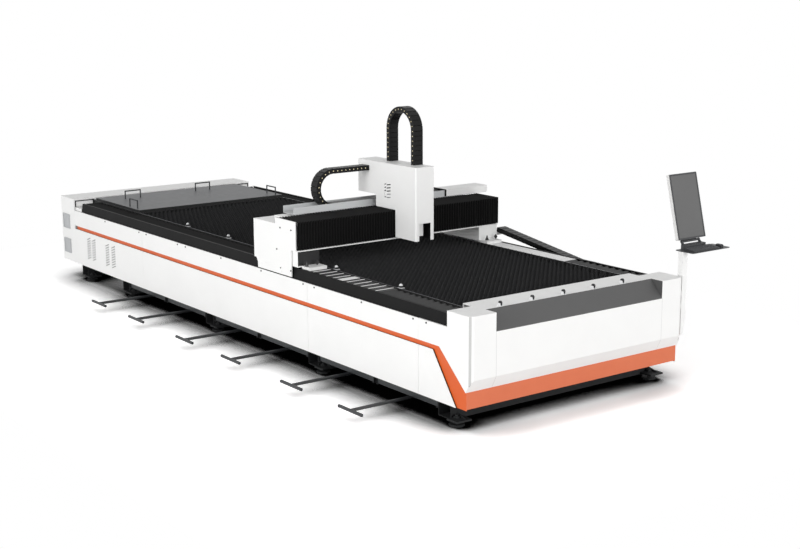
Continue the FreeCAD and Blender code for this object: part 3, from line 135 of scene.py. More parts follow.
def powderCoat(name, lowCode, highCode, roughness=0.42, gloss=0.5):
    # polyester powder coat baked on folded sheet: faint orange peel, drawn at 6 mm so that it shows
    material, tree, shader = newMaterial(name, roughness, Specular_IOR_Level=gloss)
    place = objectPlace(tree)
    tree.links.new(variedColour(tree, place, lowCode, highCode, 420), shader.inputs["Base Color"])
    variedRoughness(tree, shader, place, roughness - 0.05, roughness + 0.06, 180)
    peel = addNode(tree, "ShaderNodeTexNoise", {"Vector": place, "Scale": perMetre(6), "Detail": 1.0})
    surfaceBump(tree, shader, peel.outputs["Fac"], 0.10, 0.0006)
    return material


def brushedSteel(name, lowCode, highCode, roughness, grain):
    # ground, turned or plated metal: lines 3 mm apart so that they show, drawn out along the axis whose
    # grain is under 1; plating has 1 on every axis and shows even specks instead
    material, tree, shader = newMaterial(name, roughness, 1.0)
    place = objectPlace(tree, grain)
    tree.links.new(variedColour(tree, place, lowCode, highCode, 60), shader.inputs["Base Color"])
    lines = addNode(tree, "ShaderNodeTexNoise", {"Vector": place, "Scale": perMetre(3), "Detail": 2.0})
    spread = addNode(tree, "ShaderNodeMapRange", {"Value": lines.outputs["Fac"], "To Min": roughness - 0.08,
                                                  "To Max": roughness + 0.1})
    tree.links.new(spread.outputs["Result"], shader.inputs["Roughness"])
    surfaceBump(tree, shader, lines.outputs["Fac"], 0.08, 0.0004)
    return material


def scaledSlat(name):
    # hot-rolled strip blackened by cutting: mill scale with slag spatter, which gathers near the tips but is
    # drawn evenly over the whole strip
    material, tree, shader = newMaterial(name, 0.7, 0.35)
    place = objectPlace(tree)
    base = variedColour(tree, place, "#17181a", "#2b2b2c", 70, 6.0)
    spatter = addNode(tree, "ShaderNodeTexVoronoi", {"Vector": place, "Scale": perMetre(9)})
    specks = addNode(tree, "ShaderNodeMapRange", {"Value": spatter.outputs["Distance"], "From Min": 0.08,
                                                  "From Max": 0.2, "To Min": 1.0, "To Max": 0.0})
    mix = addNode(tree, "ShaderNodeMix", {"Factor": specks.outputs["Result"]}, data_type="RGBA")
    tree.links.new(base, mix.inputs["A"])
    mix.inputs["B"].default_value = toLinear("#3d3b39")
    tree.links.new(mix.outputs["Result"], shader.inputs["Base Color"])
    variedRoughness(tree, shader, place, 0.55, 0.85, 40)
    surfaceBump(tree, shader, specks.outputs["Result"], 0.4, 0.001)
    return material


def mouldedPlastic(name, lowCode, highCode, roughness, grainMm=2.5, gloss=0.5):
    # glass-filled nylon or ABS from a spark-eroded mould: a fine even grain
    material, tree, shader = newMaterial(name, roughness, Specular_IOR_Level=gloss)
    place = objectPlace(tree)
    tree.links.new(variedColour(tree, place, lowCode, highCode, 25), shader.inputs["Base Color"])
    variedRoughness(tree, shader, place, roughness - 0.06, roughness + 0.06, 30)
    grain = addNode(tree, "ShaderNodeTexNoise", {"Vector": place, "Scale": perMetre(grainMm), "Detail": 2.0})
    surfaceBump(tree, shader, grain.outputs["Fac"], 0.15, 0.0003)
    return material


def coatedCloth(name, lowCode, highCode):
    # woven glass cloth with a rubbery coat: crossed threads, drawn 8 mm apart so that they show
    material, tree, shader = newMaterial(name, 0.62, Specular_IOR_Level=0.1, Sheen_Weight=0.02)
    place = objectPlace(tree)
    tree.links.new(variedColour(tree, place, lowCode, highCode, 90), shader.inputs["Base Color"])
    waveScale = perMetre(4) / 6.28  # a wave repeats after 0.314 of its own units, which is 7.9 mm here
    threads = []
    for axis in ("Y", "Z"):
        threads.append(addNode(tree, "ShaderNodeTexWave", {"Vector": place, "Scale": waveScale},
                               bands_direction=axis).outputs["Fac"])
    weave = addNode(tree, "ShaderNodeMath", {0: threads[0], 1: threads[1]}, operation="MULTIPLY")
    surfaceBump(tree, shader, weave.outputs["Value"], 0.2, 0.0005)
    return material


def insideBand(tree, place, limits):
    # 1 where every named coordinate lies between its two limits, in metres; absY takes both sides alike
    parts = addNode(tree, "ShaderNodeSeparateXYZ", {"Vector": place})
    mask = None
    for axis, (low, high) in limits.items():
        source = parts.outputs[axis[-1]]
        if axis.startswith("abs"):
            source = addNode(tree, "ShaderNodeMath", {0: source}, operation="ABSOLUTE").outputs["Value"]
        near = addNode(tree, "ShaderNodeMath", {0: source, 1: (low + high) / 2, 2: (high - low) / 2},
                       operation="COMPARE").outputs["Value"]
        if mask is not None:
            near = addNode(tree, "ShaderNodeMath", {0: mask, 1: near}, operation="MULTIPLY").outputs["Value"]
        mask = near
    return mask


def partedCoat(name, codes, bands, roughness, lean=None):
    # one coat with others over it, parted where the sheet is painted or covered differently, and where light
    # or shade is painted into its colour
    material, tree, shader = newMaterial(name, roughness)
    place = objectPlace(tree)
    ground = variedColour(tree, place, *codes, 200)
    spot = place
    if lean:
        spot = addNode(tree, "ShaderNodeMapping", {"Vector": place, "Location": lean["shift"],
                                                   "Rotation": lean["turn"]}).outputs["Vector"]
    for lowCode, highCode, limits in bands:
        over = variedColour(tree, place, lowCode, highCode, 120)
        mix = addNode(tree, "ShaderNodeMix", {"Factor": insideBand(tree, spot, limits)}, data_type="RGBA")
        tree.links.new(ground, mix.inputs["A"])
        tree.links.new(over, mix.inputs["B"])
        ground = mix.outputs["Result"]
    tree.links.new(ground, shader.inputs["Base Color"])
    variedRoughness(tree, shader, place, roughness - 0.06, roughness + 0.08, 60)
    grain = addNode(tree, "ShaderNodeTexNoise", {"Vector": place, "Scale": perMetre(5), "Detail": 1.0})
    surfaceBump(tree, shader, grain.outputs["Fac"], 0.1, 0.0005)
    return material


# colours that more than one coat uses, low and high
paints = {
    "white": ("#f2f2f1", "#f7f7f6"), "black": ("#070707", "#0c0c0d"), "graphite": ("#4f4f4f", "#565656"),
    "primer": ("#1c1d1e", "#262728"), "rubber": ("#0c0c0d", "#151516"), "cup": ("#101011", "#19191a"),
    "cloth": ("#0a0a0b", "#121213"), "casing": ("#343537", "#3e3f41"),
}

finishes = {
    "white": powderCoat("white powder coat", *paints["white"]),
    "black": powderCoat("black powder coat", *paints["black"], 0.6, 0.15),
    "frame": powderCoat("frame primer", "#1b1c1d", "#242526", 0.65, 0.25),
    "slope": powderCoat("graphite powder coat", *paints["graphite"], 0.5),
    "tray": powderCoat("charcoal powder coat", "#3e3f41", "#48494b", 0.45),
    "pale": powderCoat("light grey powder coat", "#c4c6c7", "#cfd1d2", 0.42),
    "handle": powderCoat("black baked enamel", "#26282a", "#303335", 0.4),
    "slats": scaledSlat("scaled slat steel"),
    "rail": brushedSteel("ground rail steel", "#8f9296", "#a7aaae", 0.32, (0.05, 1, 1)),
    "zinc": brushedSteel("bright zinc plate", "#c3c5c7", "#d8dadb", 0.35, (1, 1, 1)),
    "tip": brushedSteel("turned nickel plate", "#9a9ca0", "#b4b6ba", 0.3, (1, 1, 0.1)),
    "brass": brushedSteel("turned brass", "#e2d4aa", "#eee3c2", 0.35, (1, 1, 1)),
    "screw": brushedSteel("black oxide screw", "#2a2b2d", "#37383a", 0.45, (1, 1, 1)),
    "chain": mouldedPlastic("glass-filled nylon", "#050505", "#0b0b0c", 0.38, gloss=0.2),
    "cloth": coatedCloth("coated glass cloth", "#040404", "#0a0a0a"),
    "motor": mouldedPlastic("cast motor enamel", "#17181a", "#202124", 0.4),
    "wheel": mouldedPlastic("roller nylon", "#17181a", "#202123", 0.5),
    "keys": mouldedPlastic("keyboard ABS", "#1f2022", "#2a2b2e", 0.5, 1.5),
    "keyCap": mouldedPlastic("key cap ABS", "#3a3b3e", "#46474a", 0.45, 1.5),
    # the louvre slots' mid grey is painted shade, standing for the shade inside each pressed slot
    "slot": mouldedPlastic("louvre slot painted shade", "#6d6e70", "#7b7c7e", 0.7),
    "headMetal": brushedSteel("anodised aluminium", "#b9bcc0", "#cfd2d5", 0.38, (1, 1, 0.1)),
}

# coats that part on one sheet: bands of other colours between limits in metres
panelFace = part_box("side_panels_upper_left")[0][1]
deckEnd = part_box("side_panels_upper_left")[0][0]
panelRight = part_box("side_panels_upper_right")[1][1]
bandLow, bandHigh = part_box("accent_band")
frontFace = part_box("front_end_cover")[1][0]
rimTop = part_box("slat_rims")[1][2]
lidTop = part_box("compartment_lid")[1][2]
slopeLow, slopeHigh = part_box("front_slope_plate")
faceSkin = 0.001  # a coat that begins or ends at a face does so this far from it
sheetSkin = 0.0015  # and the primer on an inner face starts so far behind the outer one
drawerSide = (-3, 0)  # the Y limits of all that lies on that side

finishes["farEnd"] = partedCoat("far end coats", paints["white"],
                                [("#b0b2b4", "#babcbe", {"Y": (panelFace - 1, panelFace - faceSkin)})], 0.42)
lidCoat = {"below": 0.002, "above": 0.1}
finishes["lid"] = partedCoat("lid coats", paints["black"],
                             [("#57585a", "#606163",
                               {"Z": (lidTop - lidCoat["below"], lidTop + lidCoat["above"])})], 0.5)
# the front pair of rail covers: an open strip with thin bars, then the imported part
railCover = {"packRear": 2.381, "packEnd": 9, "stripTop": rimTop - 0.009, "stripSkin": 0.0004,
             "ribStart": 1.396, "ribStep": 0.0985, "ribReach": 0.0095, "ribShare": 0.5,
             "ribSkin": 0.0002, "ribEnd": 0.01}
stripLimit = railCover["stripTop"] + railCover["stripSkin"]
# painted light: the pale ground is whiter than the other white paint, to keep the level strip bright in
# shade, and on the drawer side its thin bars are painted highlights for the lit edges of black pleats
finishes["railCover"] = partedCoat("rail cover coats with painted highlights", ("#fafaf9", "#ffffff"),
                                   [(*paints["cloth"], {"X": (railCover["packRear"], railCover["packEnd"])}),
                                    (*paints["cloth"], {"Z": (0, stripLimit), "Y": drawerSide})], 0.5)
bandCoat = {"frontDepth": 0.052, "beforeDeck": 0.1, "afterDeck": 0.035, "innerEnd": 2.9}
# the paler orange over the front face is painted light; the dark grey across the band at the far end of the
# deck is painted shade of its recessed end; the near-black primer on its inner face also stands as painted
# shade for the closed inside of the bed
finishes["band"] = partedCoat("orange powder coat with painted light and shade", ("#d4550e", "#da5d16"),
                              [("#d3683f", "#d97148", {"X": (frontFace - bandCoat["frontDepth"], frontFace)}),
                               ("#4a4b4d", "#545557", {"X": (deckEnd - bandCoat["beforeDeck"],
                                                             deckEnd + bandCoat["afterDeck"])}),
                               (*paints["primer"], {"X": (deckEnd - bandCoat["beforeDeck"],
                                                          bandCoat["innerEnd"]),
                                                    "Y": (bandLow[1] + sheetSkin,
                                                          bandHigh[1] - sheetSkin)})], 0.42)
# the primer on the panels' inner faces is near black, so that it also stands as painted shade for the closed
# inside of the bed
finishes["panels"] = partedCoat("white powder coat, dark primer inside as painted shade", paints["white"],
                                [(*paints["primer"], {"Y": (panelFace + sheetSkin,
                                                            panelRight - sheetSkin)})], 0.42)
# paler grey lines along the inner and outer edges of the rims' tops
rimCoat = {"top": (rimTop - faceSkin, rimTop + 0.01), "innerEdge": (0.86, 0.866), "outerEdge": (0.8668, 0.88)}
finishes["rims"] = partedCoat("rim coats with pale edge lines", paints["black"],
                              [("#7d7e80", "#949597", {"Z": rimCoat["top"], "absY": rimCoat["innerEdge"]}),
                               ("#55565a", "#6b6c6f", {"Z": rimCoat["top"],
                                                       "absY": rimCoat["outerEdge"]})], 0.5)
endLow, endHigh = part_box("front_end_cover")
endCoat = {"seam": (0.8558, 0.8588), "seamX": (frontFace - 0.3, frontFace + 0.1), "cheekHalf": 0.012,
           "cheekSkin": 0.01, "topSkin": 0.0005, "cornerShadeX": (frontFace - 0.023, frontFace - 0.007),
           "cornerShadeInset": (0.005, 0.020), "cornerShadeTop": 0.002}
endBands = [("#c9c9c9", "#d2d2d1", {"X": endCoat["seamX"], "absY": endCoat["seam"], "Z": (0, slopeLow[2])})]
for cheek, corner, side in ((slopeLow[1], endLow[1], 1), (slopeHigh[1], endHigh[1], -1)):
    # dark cheeks beside the sloping plate, and a grey line of painted shade down each rounded corner
    endBands.append((*paints["graphite"],
                     {"X": (slopeLow[0] - endCoat["cheekSkin"], frontFace - faceSkin),
                      "Y": (cheek - endCoat["cheekHalf"], cheek + endCoat["cheekHalf"]),
                      "Z": (slopeLow[2] - endCoat["cheekSkin"], slopeHigh[2] - endCoat["topSkin"])}))
    inner, outer = sorted(corner + side * inset for inset in endCoat["cornerShadeInset"])
    endBands.append(("#bcbcbb", "#c4c4c3", {"X": endCoat["cornerShadeX"], "Y": (inner, outer),
                                            "Z": (0, endHigh[2] - endCoat["cornerShadeTop"])}))
finishes["frontEnd"] = partedCoat("front end coat with folded seams and painted corner shade", paints["white"], endBands, 0.42)

nodeFinish = {
    "bed_frame": "frame", "levelling_feet": "frame", "travel_rails": "rail", "gear_racks": "rail",
    "trough_covers": "black", "slat_rims": "rims", "cutting_slats": "slats",
    "side_panels_upper_left": "panels", "side_panels_upper_right": "panels",
    "side_panels_lower_left": "panels", "side_panels_lower_right": "panels",
    "accent_band": "band", "front_end_cover": "frontEnd", "front_slope_plate": "slope",
    "far_end_cover": "farEnd", "compartment_lid": "lid", "lift_handles": "handle",
    "roller_brackets": "brackets", "drawer_runners": "frame", "x_chain_tray": "white",
    "console_column": "white", "keyboard_tray": "tray", "keyboard": "keys", "mouse": "keys",
    "monitor": "monitor", "gantry_beam": "white", "gantry_end_cover_left": "white",
    "gantry_end_cover_right": "white", "gantry_feet": "feet", "x_drive_motors": "motor", "y_rails": "rail",
    "y_chain_tray": "pale", "y_chain_cover": "white", "carriage_plate": "zinc", "head_housing": "housing",
    "laser_head_body": "headMetal", "cutting_nozzle": "tip", "head_cover": "white",
    "x_chain_low_run": "chain", "x_chain_bend": "chain", "x_chain_top_run": "chain",
    "y_chain_low_run": "chain", "y_chain_bend": "chain", "y_chain_top_run": "chain",
    "z_chain_loop": "chain", "beam_bellows_left": "cloth", "beam_bellows_right": "cloth",
    "rail_bellows_front": "railCover", "rail_bellows_rear": "cloth",
}
# rubber buffers on the toes; the drawer side foot's face gets the same near black as painted shade, for a
# dark recess
buffers = {"x": (1.29, 1.39), "z": (0.8724, 0.93), "faceShadeX": (1.2795, 1.2825), "faceShadeZ": (0.8725, 1.01)}
finishes["feet"] = partedCoat("white powder coat, rubber buffers and painted foot shade", paints["white"],
                              [(*paints["rubber"], {"X": buffers["x"], "Z": buffers["z"]}),
                               (*paints["rubber"], {"X": buffers["faceShadeX"], "Z": buffers["faceShadeZ"],
                                                    "Y": drawerSide})], 0.45)
# rubber cups over the loading rollers' brackets, and on the ball supports along the rims
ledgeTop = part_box("front_end_cover")[1][2]
cups = {"ledgeX": (3, 4), "ledgeZ": (ledgeTop + 0.024, ledgeTop + 0.1),
        "rimX": (-4, 3), "rimZ": (rimTop + 0.002, rimTop + 0.017)}
finishes["brackets"] = partedCoat("zinc plate and rubber cups", ("#d4d5d6", "#e2e3e4"),
                                  [(*paints["cup"], {"X": cups["ledgeX"], "Z": cups["ledgeZ"]}),
                                   (*paints["cup"], {"X": cups["rimX"], "Z": cups["rimZ"]})], 0.35)
shellLow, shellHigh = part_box("head_housing")
shellSheet = 0.0048  # the housing is dark from so far inside its outer faces
# painted shade: the housing's inner faces are near black, standing for the shade within the shell
finishes["housing"] = partedCoat("white powder coat, painted shade inside", paints["white"],
                                 [("#1a1a1b", "#232324", {"X": (shellLow[0], shellHigh[0] - shellSheet),
                                                          "Y": (shellLow[1] + shellSheet,
                                                                shellHigh[1] - shellSheet),
                                                          "Z": (0, shellHigh[2] - shellSheet)})], 0.42)

monitorTilt = next(joint for joint in frame["joints"] if joint["name"] == "monitor_tilt")
screen = {"pivot": Vector(monitorTilt["pos_m"]), "lean": math.radians(14), "recess": 0.016,
          "rear": -0.015, "lift": 0.013, "bezel": 0.014, "height": 0.535, "glassDepth": 0.0015,
          "corner": 0.002, "coatSkin": 0.0005}
upright = Matrix.Rotation(screen["lean"], 3, "Y")
finishes["monitor"] = partedCoat("monitor ABS", ("#e3e3e2", "#ecebea"),
                                 [(*paints["casing"], {"X": (screen["recess"] - screen["coatSkin"], 1)}),
                                  (*paints["casing"], {"X": (-1, screen["rear"] - screen["coatSkin"])}),
                                  (*paints["casing"], {"Z": (-1, screen["lift"] - screen["coatSkin"])})], 0.4,
                                 {"shift": -(upright @ screen["pivot"]), "turn": (0, screen["lean"], 0)})
for name in nodes:
    if name.startswith("scrap_drawer"):
        nodeFinish[name] = "handle"
    if name.startswith("loading_roller"):
        nodeFinish[name] = "wheel"
for name, node in nodes.items():
    for holder in node.material_slots:
        holder.material = finishes[nodeFinish[name]]
print("materials ready:", len(finishes))


def startPiece(name, primitive, finish, sides=(1, 1, 1), **settings):
    # a primitive at its size and place, alone in the selection and with its place in its mesh
    bpy.ops.object.select_all(action="DESELECT")
    primitive(**settings)
    piece = bpy.context.object
    piece.scale = sides
    bpy.ops.object.transform_apply(location=True, rotation=True, scale=True)
    piece.name = name
    piece.data.materials.append(finishes[finish])
    return piece


facing = 0.9  # a normal that reaches so far along an axis faces that way


def pickFaces(piece, test):
    # leaves the piece in edit mode with just the faces that pass the test selected
    bpy.ops.object.mode_set(mode="EDIT")
    bpy.ops.mesh.select_mode(type="FACE")
    mesh = bmesh.from_edit_mesh(piece.data)
    for face in mesh.faces:
        face.select_set(bool(test(face.calc_center_median(), face.normal)))
    bmesh.update_edit_mesh(piece.data)


def doneShaping():
    bpy.ops.mesh.select_all(action="SELECT")
    bpy.ops.mesh.normals_make_consistent(inside=False)
    bpy.ops.object.mode_set(mode="OBJECT")


def selectOnly(piece):
    bpy.ops.object.select_all(action="DESELECT")
    piece.select_set(True)
    bpy.context.view_layer.objects.active = piece


def joinPieces(pieces):
    bpy.ops.object.select_all(action="DESELECT")
    for piece in pieces:
        piece.select_set(True)
    bpy.context.view_layer.objects.active = pieces[0]
    bpy.ops.object.join()
    return bpy.context.object


def copiesAt(piece, spots):
    # the piece again at every spot, each copy with its own mesh, all joined into one
    copies = []
    for spot in spots:
        copy = piece.copy()
        copy.data = piece.data.copy()
        copy.data.transform(Matrix.Translation(spot))
        bpy.context.scene.collection.objects.link(copy)
        copies.append(copy)
    name = piece.name
    bpy.data.objects.remove(piece)
    whole = joinPieces(copies)
    whole.name = name
    return whole


slats = {"count": 53, "pitch": 0.1, "teeth": 36, "toothDepth": 0.045, "thickness": 0.004,
         "tipReach": 0.001}


def makeSlats():
    # one toothed strip drawn flat, its notches pulled down and its thickness pushed out, then repeated
    low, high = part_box("cutting_slats")
    length = high[1] - low[1]
    height = high[2] - low[2]
    strip = startPiece("cuttingSlats", bpy.ops.mesh.primitive_grid_add, "slats",
                       x_subdivisions=slats["teeth"] * 2, y_subdivisions=1, size=1,
                       rotation=(math.pi / 2, 0, math.pi / 2),
                       location=(low[0], (low[1] + high[1]) / 2, (low[2] + high[2]) / 2),
                       sides=(length, height, 1))
    bpy.ops.object.mode_set(mode="EDIT")
    bpy.ops.mesh.select_mode(type="VERT")
    mesh = bmesh.from_edit_mesh(strip.data)
    step = length / (slats["teeth"] * 2)
    for point in mesh.verts:
        place = round((point.co.y - low[1]) / step)
        point.select_set(point.co.z > high[2] - slats["tipReach"] and place % 2 == 0)
    bmesh.update_edit_mesh(strip.data)
    bpy.ops.transform.translate(value=(0, 0, -slats["toothDepth"]))
    bpy.ops.mesh.select_all(action="SELECT")
    bpy.ops.mesh.extrude_region_move(TRANSFORM_OT_translate={"value": (slats["thickness"], 0, 0)})
    doneShaping()
    row = copiesAt(strip, [(i * slats["pitch"], 0, 0) for i in range(slats["count"])])
    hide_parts("cutting_slats")
    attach(row, "bed")


makeSlats()
print("slats ready")

screws = {"radius": 0.007, "depth": 0.005, "socket": 0.45, "rim": 0.001, "skirtZ": 0.742,
          "skirtX": (-2.45, -1.66, -1.50, -0.84, -0.68, 0.0, 0.705, 1.378, 1.545, 2.219, 2.888, 3.047),
          "plate": ((1.035, 1.169), (1.207, 1.169), (0.975, 0.977), (1.033, 0.823), (1.193, 0.822)),
          "plateInset": 0.003, "rightInset": 0.01}


def makeScrews(name, face, side, spots, body):
    # cap screws on an upright sheet: a disc with its rim bevelled and a socket pushed in
    head = startPiece(name, bpy.ops.mesh.primitive_cylinder_add, "screw", vertices=12,
                      radius=screws["radius"], depth=screws["depth"], rotation=(math.pi / 2, 0, 0),
                      location=(0, face + side * screws["depth"] / 2, 0))
    pickFaces(head, lambda middle, normal: normal.y * side > facing)
    bpy.ops.mesh.bevel(offset=screws["rim"], segments=1, affect="EDGES")
    pickFaces(head, lambda middle, normal: normal.y * side > facing)
    bpy.ops.mesh.inset(thickness=screws["radius"] * screws["socket"])
    bpy.ops.mesh.extrude_region_move(TRANSFORM_OT_translate={"value": (0, -side * screws["depth"] / 2, 0)})
    doneShaping()
    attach(copiesAt(head, [(x, 0, z) for x, z in spots]), body)


skirtSpots = [(x, screws["skirtZ"]) for x in screws["skirtX"]]
makeScrews("skirtScrewsLeft", panelFace, -1, skirtSpots, "bed")
makeScrews("skirtScrewsRight", panelRight, 1, skirtSpots, "bed")
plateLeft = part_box("gantry_end_cover_left")[0][1] + screws["plateInset"]
makeScrews("plateScrewsLeft", plateLeft, -1, screws["plate"], "gantry")
makeScrews("plateScrewsRight", -plateLeft - screws["rightInset"], 1, screws["plate"][:3], "gantry")

louvres = {"columns": (-2.89, -2.765, -2.43, -2.285), "rows": 9, "lowZ": 0.285, "pitch": 0.026,
           "length": 0.086, "height": 0.007, "depth": 0.0025, "slant": 0.33, "lip": 0.0015, "sink": 0.7}


def makeLouvres():
    # pressed slots in the lower panel, slanting up towards the loading end
    slot = startPiece("panelLouvres", bpy.ops.mesh.primitive_cube_add, "slot", size=1,
                      location=(0, panelFace - louvres["depth"] / 2, 0), rotation=(0, -louvres["slant"], 0),
                      sides=(louvres["length"], louvres["depth"], louvres["height"]))
    pickFaces(slot, lambda middle, normal: normal.y < -facing)
    bpy.ops.mesh.inset(thickness=louvres["lip"])
    sunk = louvres["depth"] * louvres["sink"]
    bpy.ops.mesh.extrude_region_move(TRANSFORM_OT_translate={"value": (0, sunk, 0)})
    doneShaping()
    spots = [(x, 0, louvres["lowZ"] + i * louvres["pitch"]) for x in louvres["columns"]
             for i in range(louvres["rows"])]
    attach(copiesAt(slot, spots), "bed")


makeLouvres()
print("screws and louvres ready")


trim = {"proud": 0.003, "bar": 0.0065, "lap": 0.008}


def makeCoverTrim():
    # rubber edging round the open end of the chain cover: a frame without its lower bar
    low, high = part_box("y_chain_cover")
    wide = high[0] - low[0] + trim["proud"] * 2
    tall = high[2] - low[2] + trim["proud"]
    ring = startPiece("coverTrim", bpy.ops.mesh.primitive_plane_add, "chain", size=1,
                      rotation=(math.pi / 2, 0, 0), sides=(wide, tall, 1),
                      location=((low[0] + high[0]) / 2, low[1] - trim["lap"], low[2] + tall / 2))
    pickFaces(ring, lambda middle, normal: True)
    bpy.ops.mesh.inset(thickness=trim["bar"])
    bpy.ops.mesh.delete(type="FACE")
    pickFaces(ring, lambda middle, normal: middle.z < low[2] + trim["bar"])
    bpy.ops.mesh.delete(type="FACE")
    bpy.ops.mesh.select_all(action="SELECT")
    bpy.ops.mesh.extrude_region_move(TRANSFORM_OT_translate={"value": (0, trim["lap"] * 2, 0)})
    doneShaping()
    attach(ring, "gantry")


makeCoverTrim()


def makeScreenGlass():
    # the display's glass in the casing's recess, made upright and leaned back with it
    low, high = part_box("monitor")
    front = screen["recess"] + screen["glassDepth"]
    centre = screen["pivot"] + Vector((front, 0, screen["lift"] + screen["height"] / 2))
    centre.y = (low[1] + high[1]) / 2
    glass = startPiece("screenGlass", bpy.ops.mesh.primitive_plane_add, "display", size=1,
                       rotation=(0, math.pi / 2, 0), location=centre,
                       sides=(screen["height"] - screen["bezel"] * 2,
                              high[1] - low[1] - screen["bezel"] * 2, 1))
    pickFaces(glass, lambda middle, normal: True)
    bpy.ops.mesh.bevel(offset=screen["corner"], segments=2, affect="VERTICES")
    bpy.ops.mesh.select_all(action="SELECT")
    bpy.ops.mesh.extrude_region_move(TRANSFORM_OT_translate={"value": (-screen["glassDepth"], 0, 0)})
    doneShaping()
    toPivot, fromPivot = Matrix.Translation(-screen["pivot"]), Matrix.Translation(screen["pivot"])
    glass.data.transform(fromPivot @ upright.inverted().to_4x4() @ toPivot)
    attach(glass, "screen")


def displayGlass(name):
    # an unlit display behind clear glass: an even mid grey under a smooth coat
    material, tree, shader = newMaterial(name, 0.35, Coat_Weight=0.4, Coat_Roughness=0.08)
    place = objectPlace(tree)
    tree.links.new(variedColour(tree, place, "#555555", "#5b5b5b", 260), shader.inputs["Base Color"])
    variedRoughness(tree, shader, place, 0.3, 0.4, 90)
    return material


finishes["display"] = displayGlass("display glass")
makeScreenGlass()

keyboard = {"rows": 6, "columns": 16, "margin": 0.008, "keyHeight": 0.004, "keyShare": 0.82, "fall": 0.011,
            "topShare": 0.8, "dishLip": 0.001, "dish": 0.0006}


def makeKeys():
    # one key cap with its top drawn in, repeated in rows on the sloping board
    low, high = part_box("keyboard")
    stepX = (high[0] - low[0] - keyboard["margin"] * 2) / keyboard["rows"]
    stepY = (high[1] - low[1] - keyboard["margin"] * 2) / keyboard["columns"]
    slope = keyboard["fall"] / (high[0] - low[0])
    key = startPiece("keyCaps", bpy.ops.mesh.primitive_cube_add, "keyCap", size=1,
                     location=(low[0] + keyboard["margin"] + stepX / 2,
                               low[1] + keyboard["margin"] + stepY / 2,
                               high[2] - slope * (keyboard["margin"] + stepX / 2)),
                     sides=(stepX * keyboard["keyShare"], stepY * keyboard["keyShare"],
                            keyboard["keyHeight"]))
    pickFaces(key, lambda middle, normal: normal.z > facing)
    bpy.ops.transform.resize(value=(keyboard["topShare"], keyboard["topShare"], 1))
    bpy.ops.mesh.inset(thickness=keyboard["dishLip"])
    bpy.ops.transform.translate(value=(0, 0, -keyboard["dish"]))
    doneShaping()
    spots = [(i * stepX, j * stepY, -i * stepX * slope) for i in range(keyboard["rows"])
             for j in range(keyboard["columns"])]
    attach(copiesAt(key, spots), "bed")


makeKeys()
print("trim, display and keys ready")

pins = {"radius": 0.0052, "proud": 0.002, "half": 0.0475, "rim": 0.0008}
chains = {"link": 0.045, "longPitch": 0.066, "crossPitch": 0.044, "leadNearX": 2.281, "leadHighTop": 0.957,
          "fewestInTurn": 4, "lowRunParts": 6}
mergeGap = 0.00002  # corners this close are one corner


def makePins(name, spots, across):
    # rivet heads on both sides of a chain's links, at the joints between them; black on the long chain
    finish = "screw" if name.startswith("longChain") else "brass"
    turn = (math.pi / 2, 0, 0) if across == "Y" else (0, math.pi / 2, 0)
    reach = Vector((0, 1, 0)) if across == "Y" else Vector((1, 0, 0))
    head = startPiece(name, bpy.ops.mesh.primitive_cylinder_add, finish, vertices=8,
                      radius=pins["radius"], depth=(pins["half"] + pins["proud"]) * 2, rotation=turn)
    pickFaces(head, lambda middle, normal: abs(normal.dot(reach)) > facing)
    bpy.ops.mesh.bevel(offset=pins["rim"], segments=1, affect="EDGES")
    doneShaping()
    return copiesAt(head, spots)


def alongLine(start, end, pitch):
    count = max(1, round((end - start).length / pitch))
    return [start.lerp(end, i / count) for i in range(1, count)]


def roundTurn(centre, arm, across, count):
    # joints of half a turn about centre, from arm round to its opposite
    return [centre + Matrix.Rotation(math.pi * i / count, 3, across) @ arm for i in range(count + 1)]


def coverCopy(node, name):
    # a merged copy of a pleated cover or a chain run, in its own finish, with the imported part hidden
    source = nodes[node]
    piece = bpy.data.objects.new(name, source.data.copy())
    bpy.context.scene.collection.objects.link(piece)
    selectOnly(piece)
    bpy.ops.object.mode_set(mode="EDIT")
    bpy.ops.mesh.select_all(action="SELECT")
    bpy.ops.mesh.remove_doubles(threshold=mergeGap)
    bpy.ops.object.mode_set(mode="OBJECT")
    piece.data.materials.clear()
    piece.data.materials.append(finishes[nodeFinish[node]])
    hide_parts(node)
    return piece


def slimRibs(piece):
    # the thin bars on the open strip, drawn in to the width of the bright edges that show
    step = railCover["ribStep"]
    lowest = railCover["stripTop"] - railCover["ribSkin"]
    for point in piece.data.vertices:
        if point.co.z > lowest and point.co.x < railCover["packRear"] - railCover["ribEnd"]:
            place = (point.co.x - railCover["ribStart"]) / step
            middle = railCover["ribStart"] + (math.floor(place) + 0.5) * step
            if abs(point.co.x - middle) < railCover["ribReach"] and point.co.y < 0:
                point.co.x = middle + (point.co.x - middle) * railCover["ribShare"]


def spanBlend(node, name, limits, joints=(), across="Y"):
    piece = coverCopy(node, name)
    if node == "rail_bellows_front":
        slimRibs(piece)
    if joints:
        piece = joinPieces([piece, makePins(name + "Pins", joints, across)])
    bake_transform(piece)


def steppedBlend(node, name, ends, joints, parts):
    # a run that shortens a long way, with its rivets, cut into parts at even steps between its two ends
    whole = joinPieces([coverCopy(node, name), makePins(name + "Pins", joints, "Y")])
    step = (ends[1] - ends[0]) / parts
    for i in range(parts):
        nearX, farX = ends[0] + i * step, ends[0] + (i + 1) * step
        piece = whole.copy()
        piece.data = whole.data.copy()
        bpy.context.scene.collection.objects.link(piece)
        piece.name = name + str(i + 1)
        selectOnly(piece)
        pickFaces(piece, lambda middle, normal: (i > 0 and middle.x < nearX)
                  or (i < parts - 1 and middle.x >= farX))
        bpy.ops.mesh.delete(type="FACE")
        bpy.ops.object.mode_set(mode="OBJECT")
        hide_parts(node)
        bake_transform(piece)
    bpy.data.objects.remove(whole)


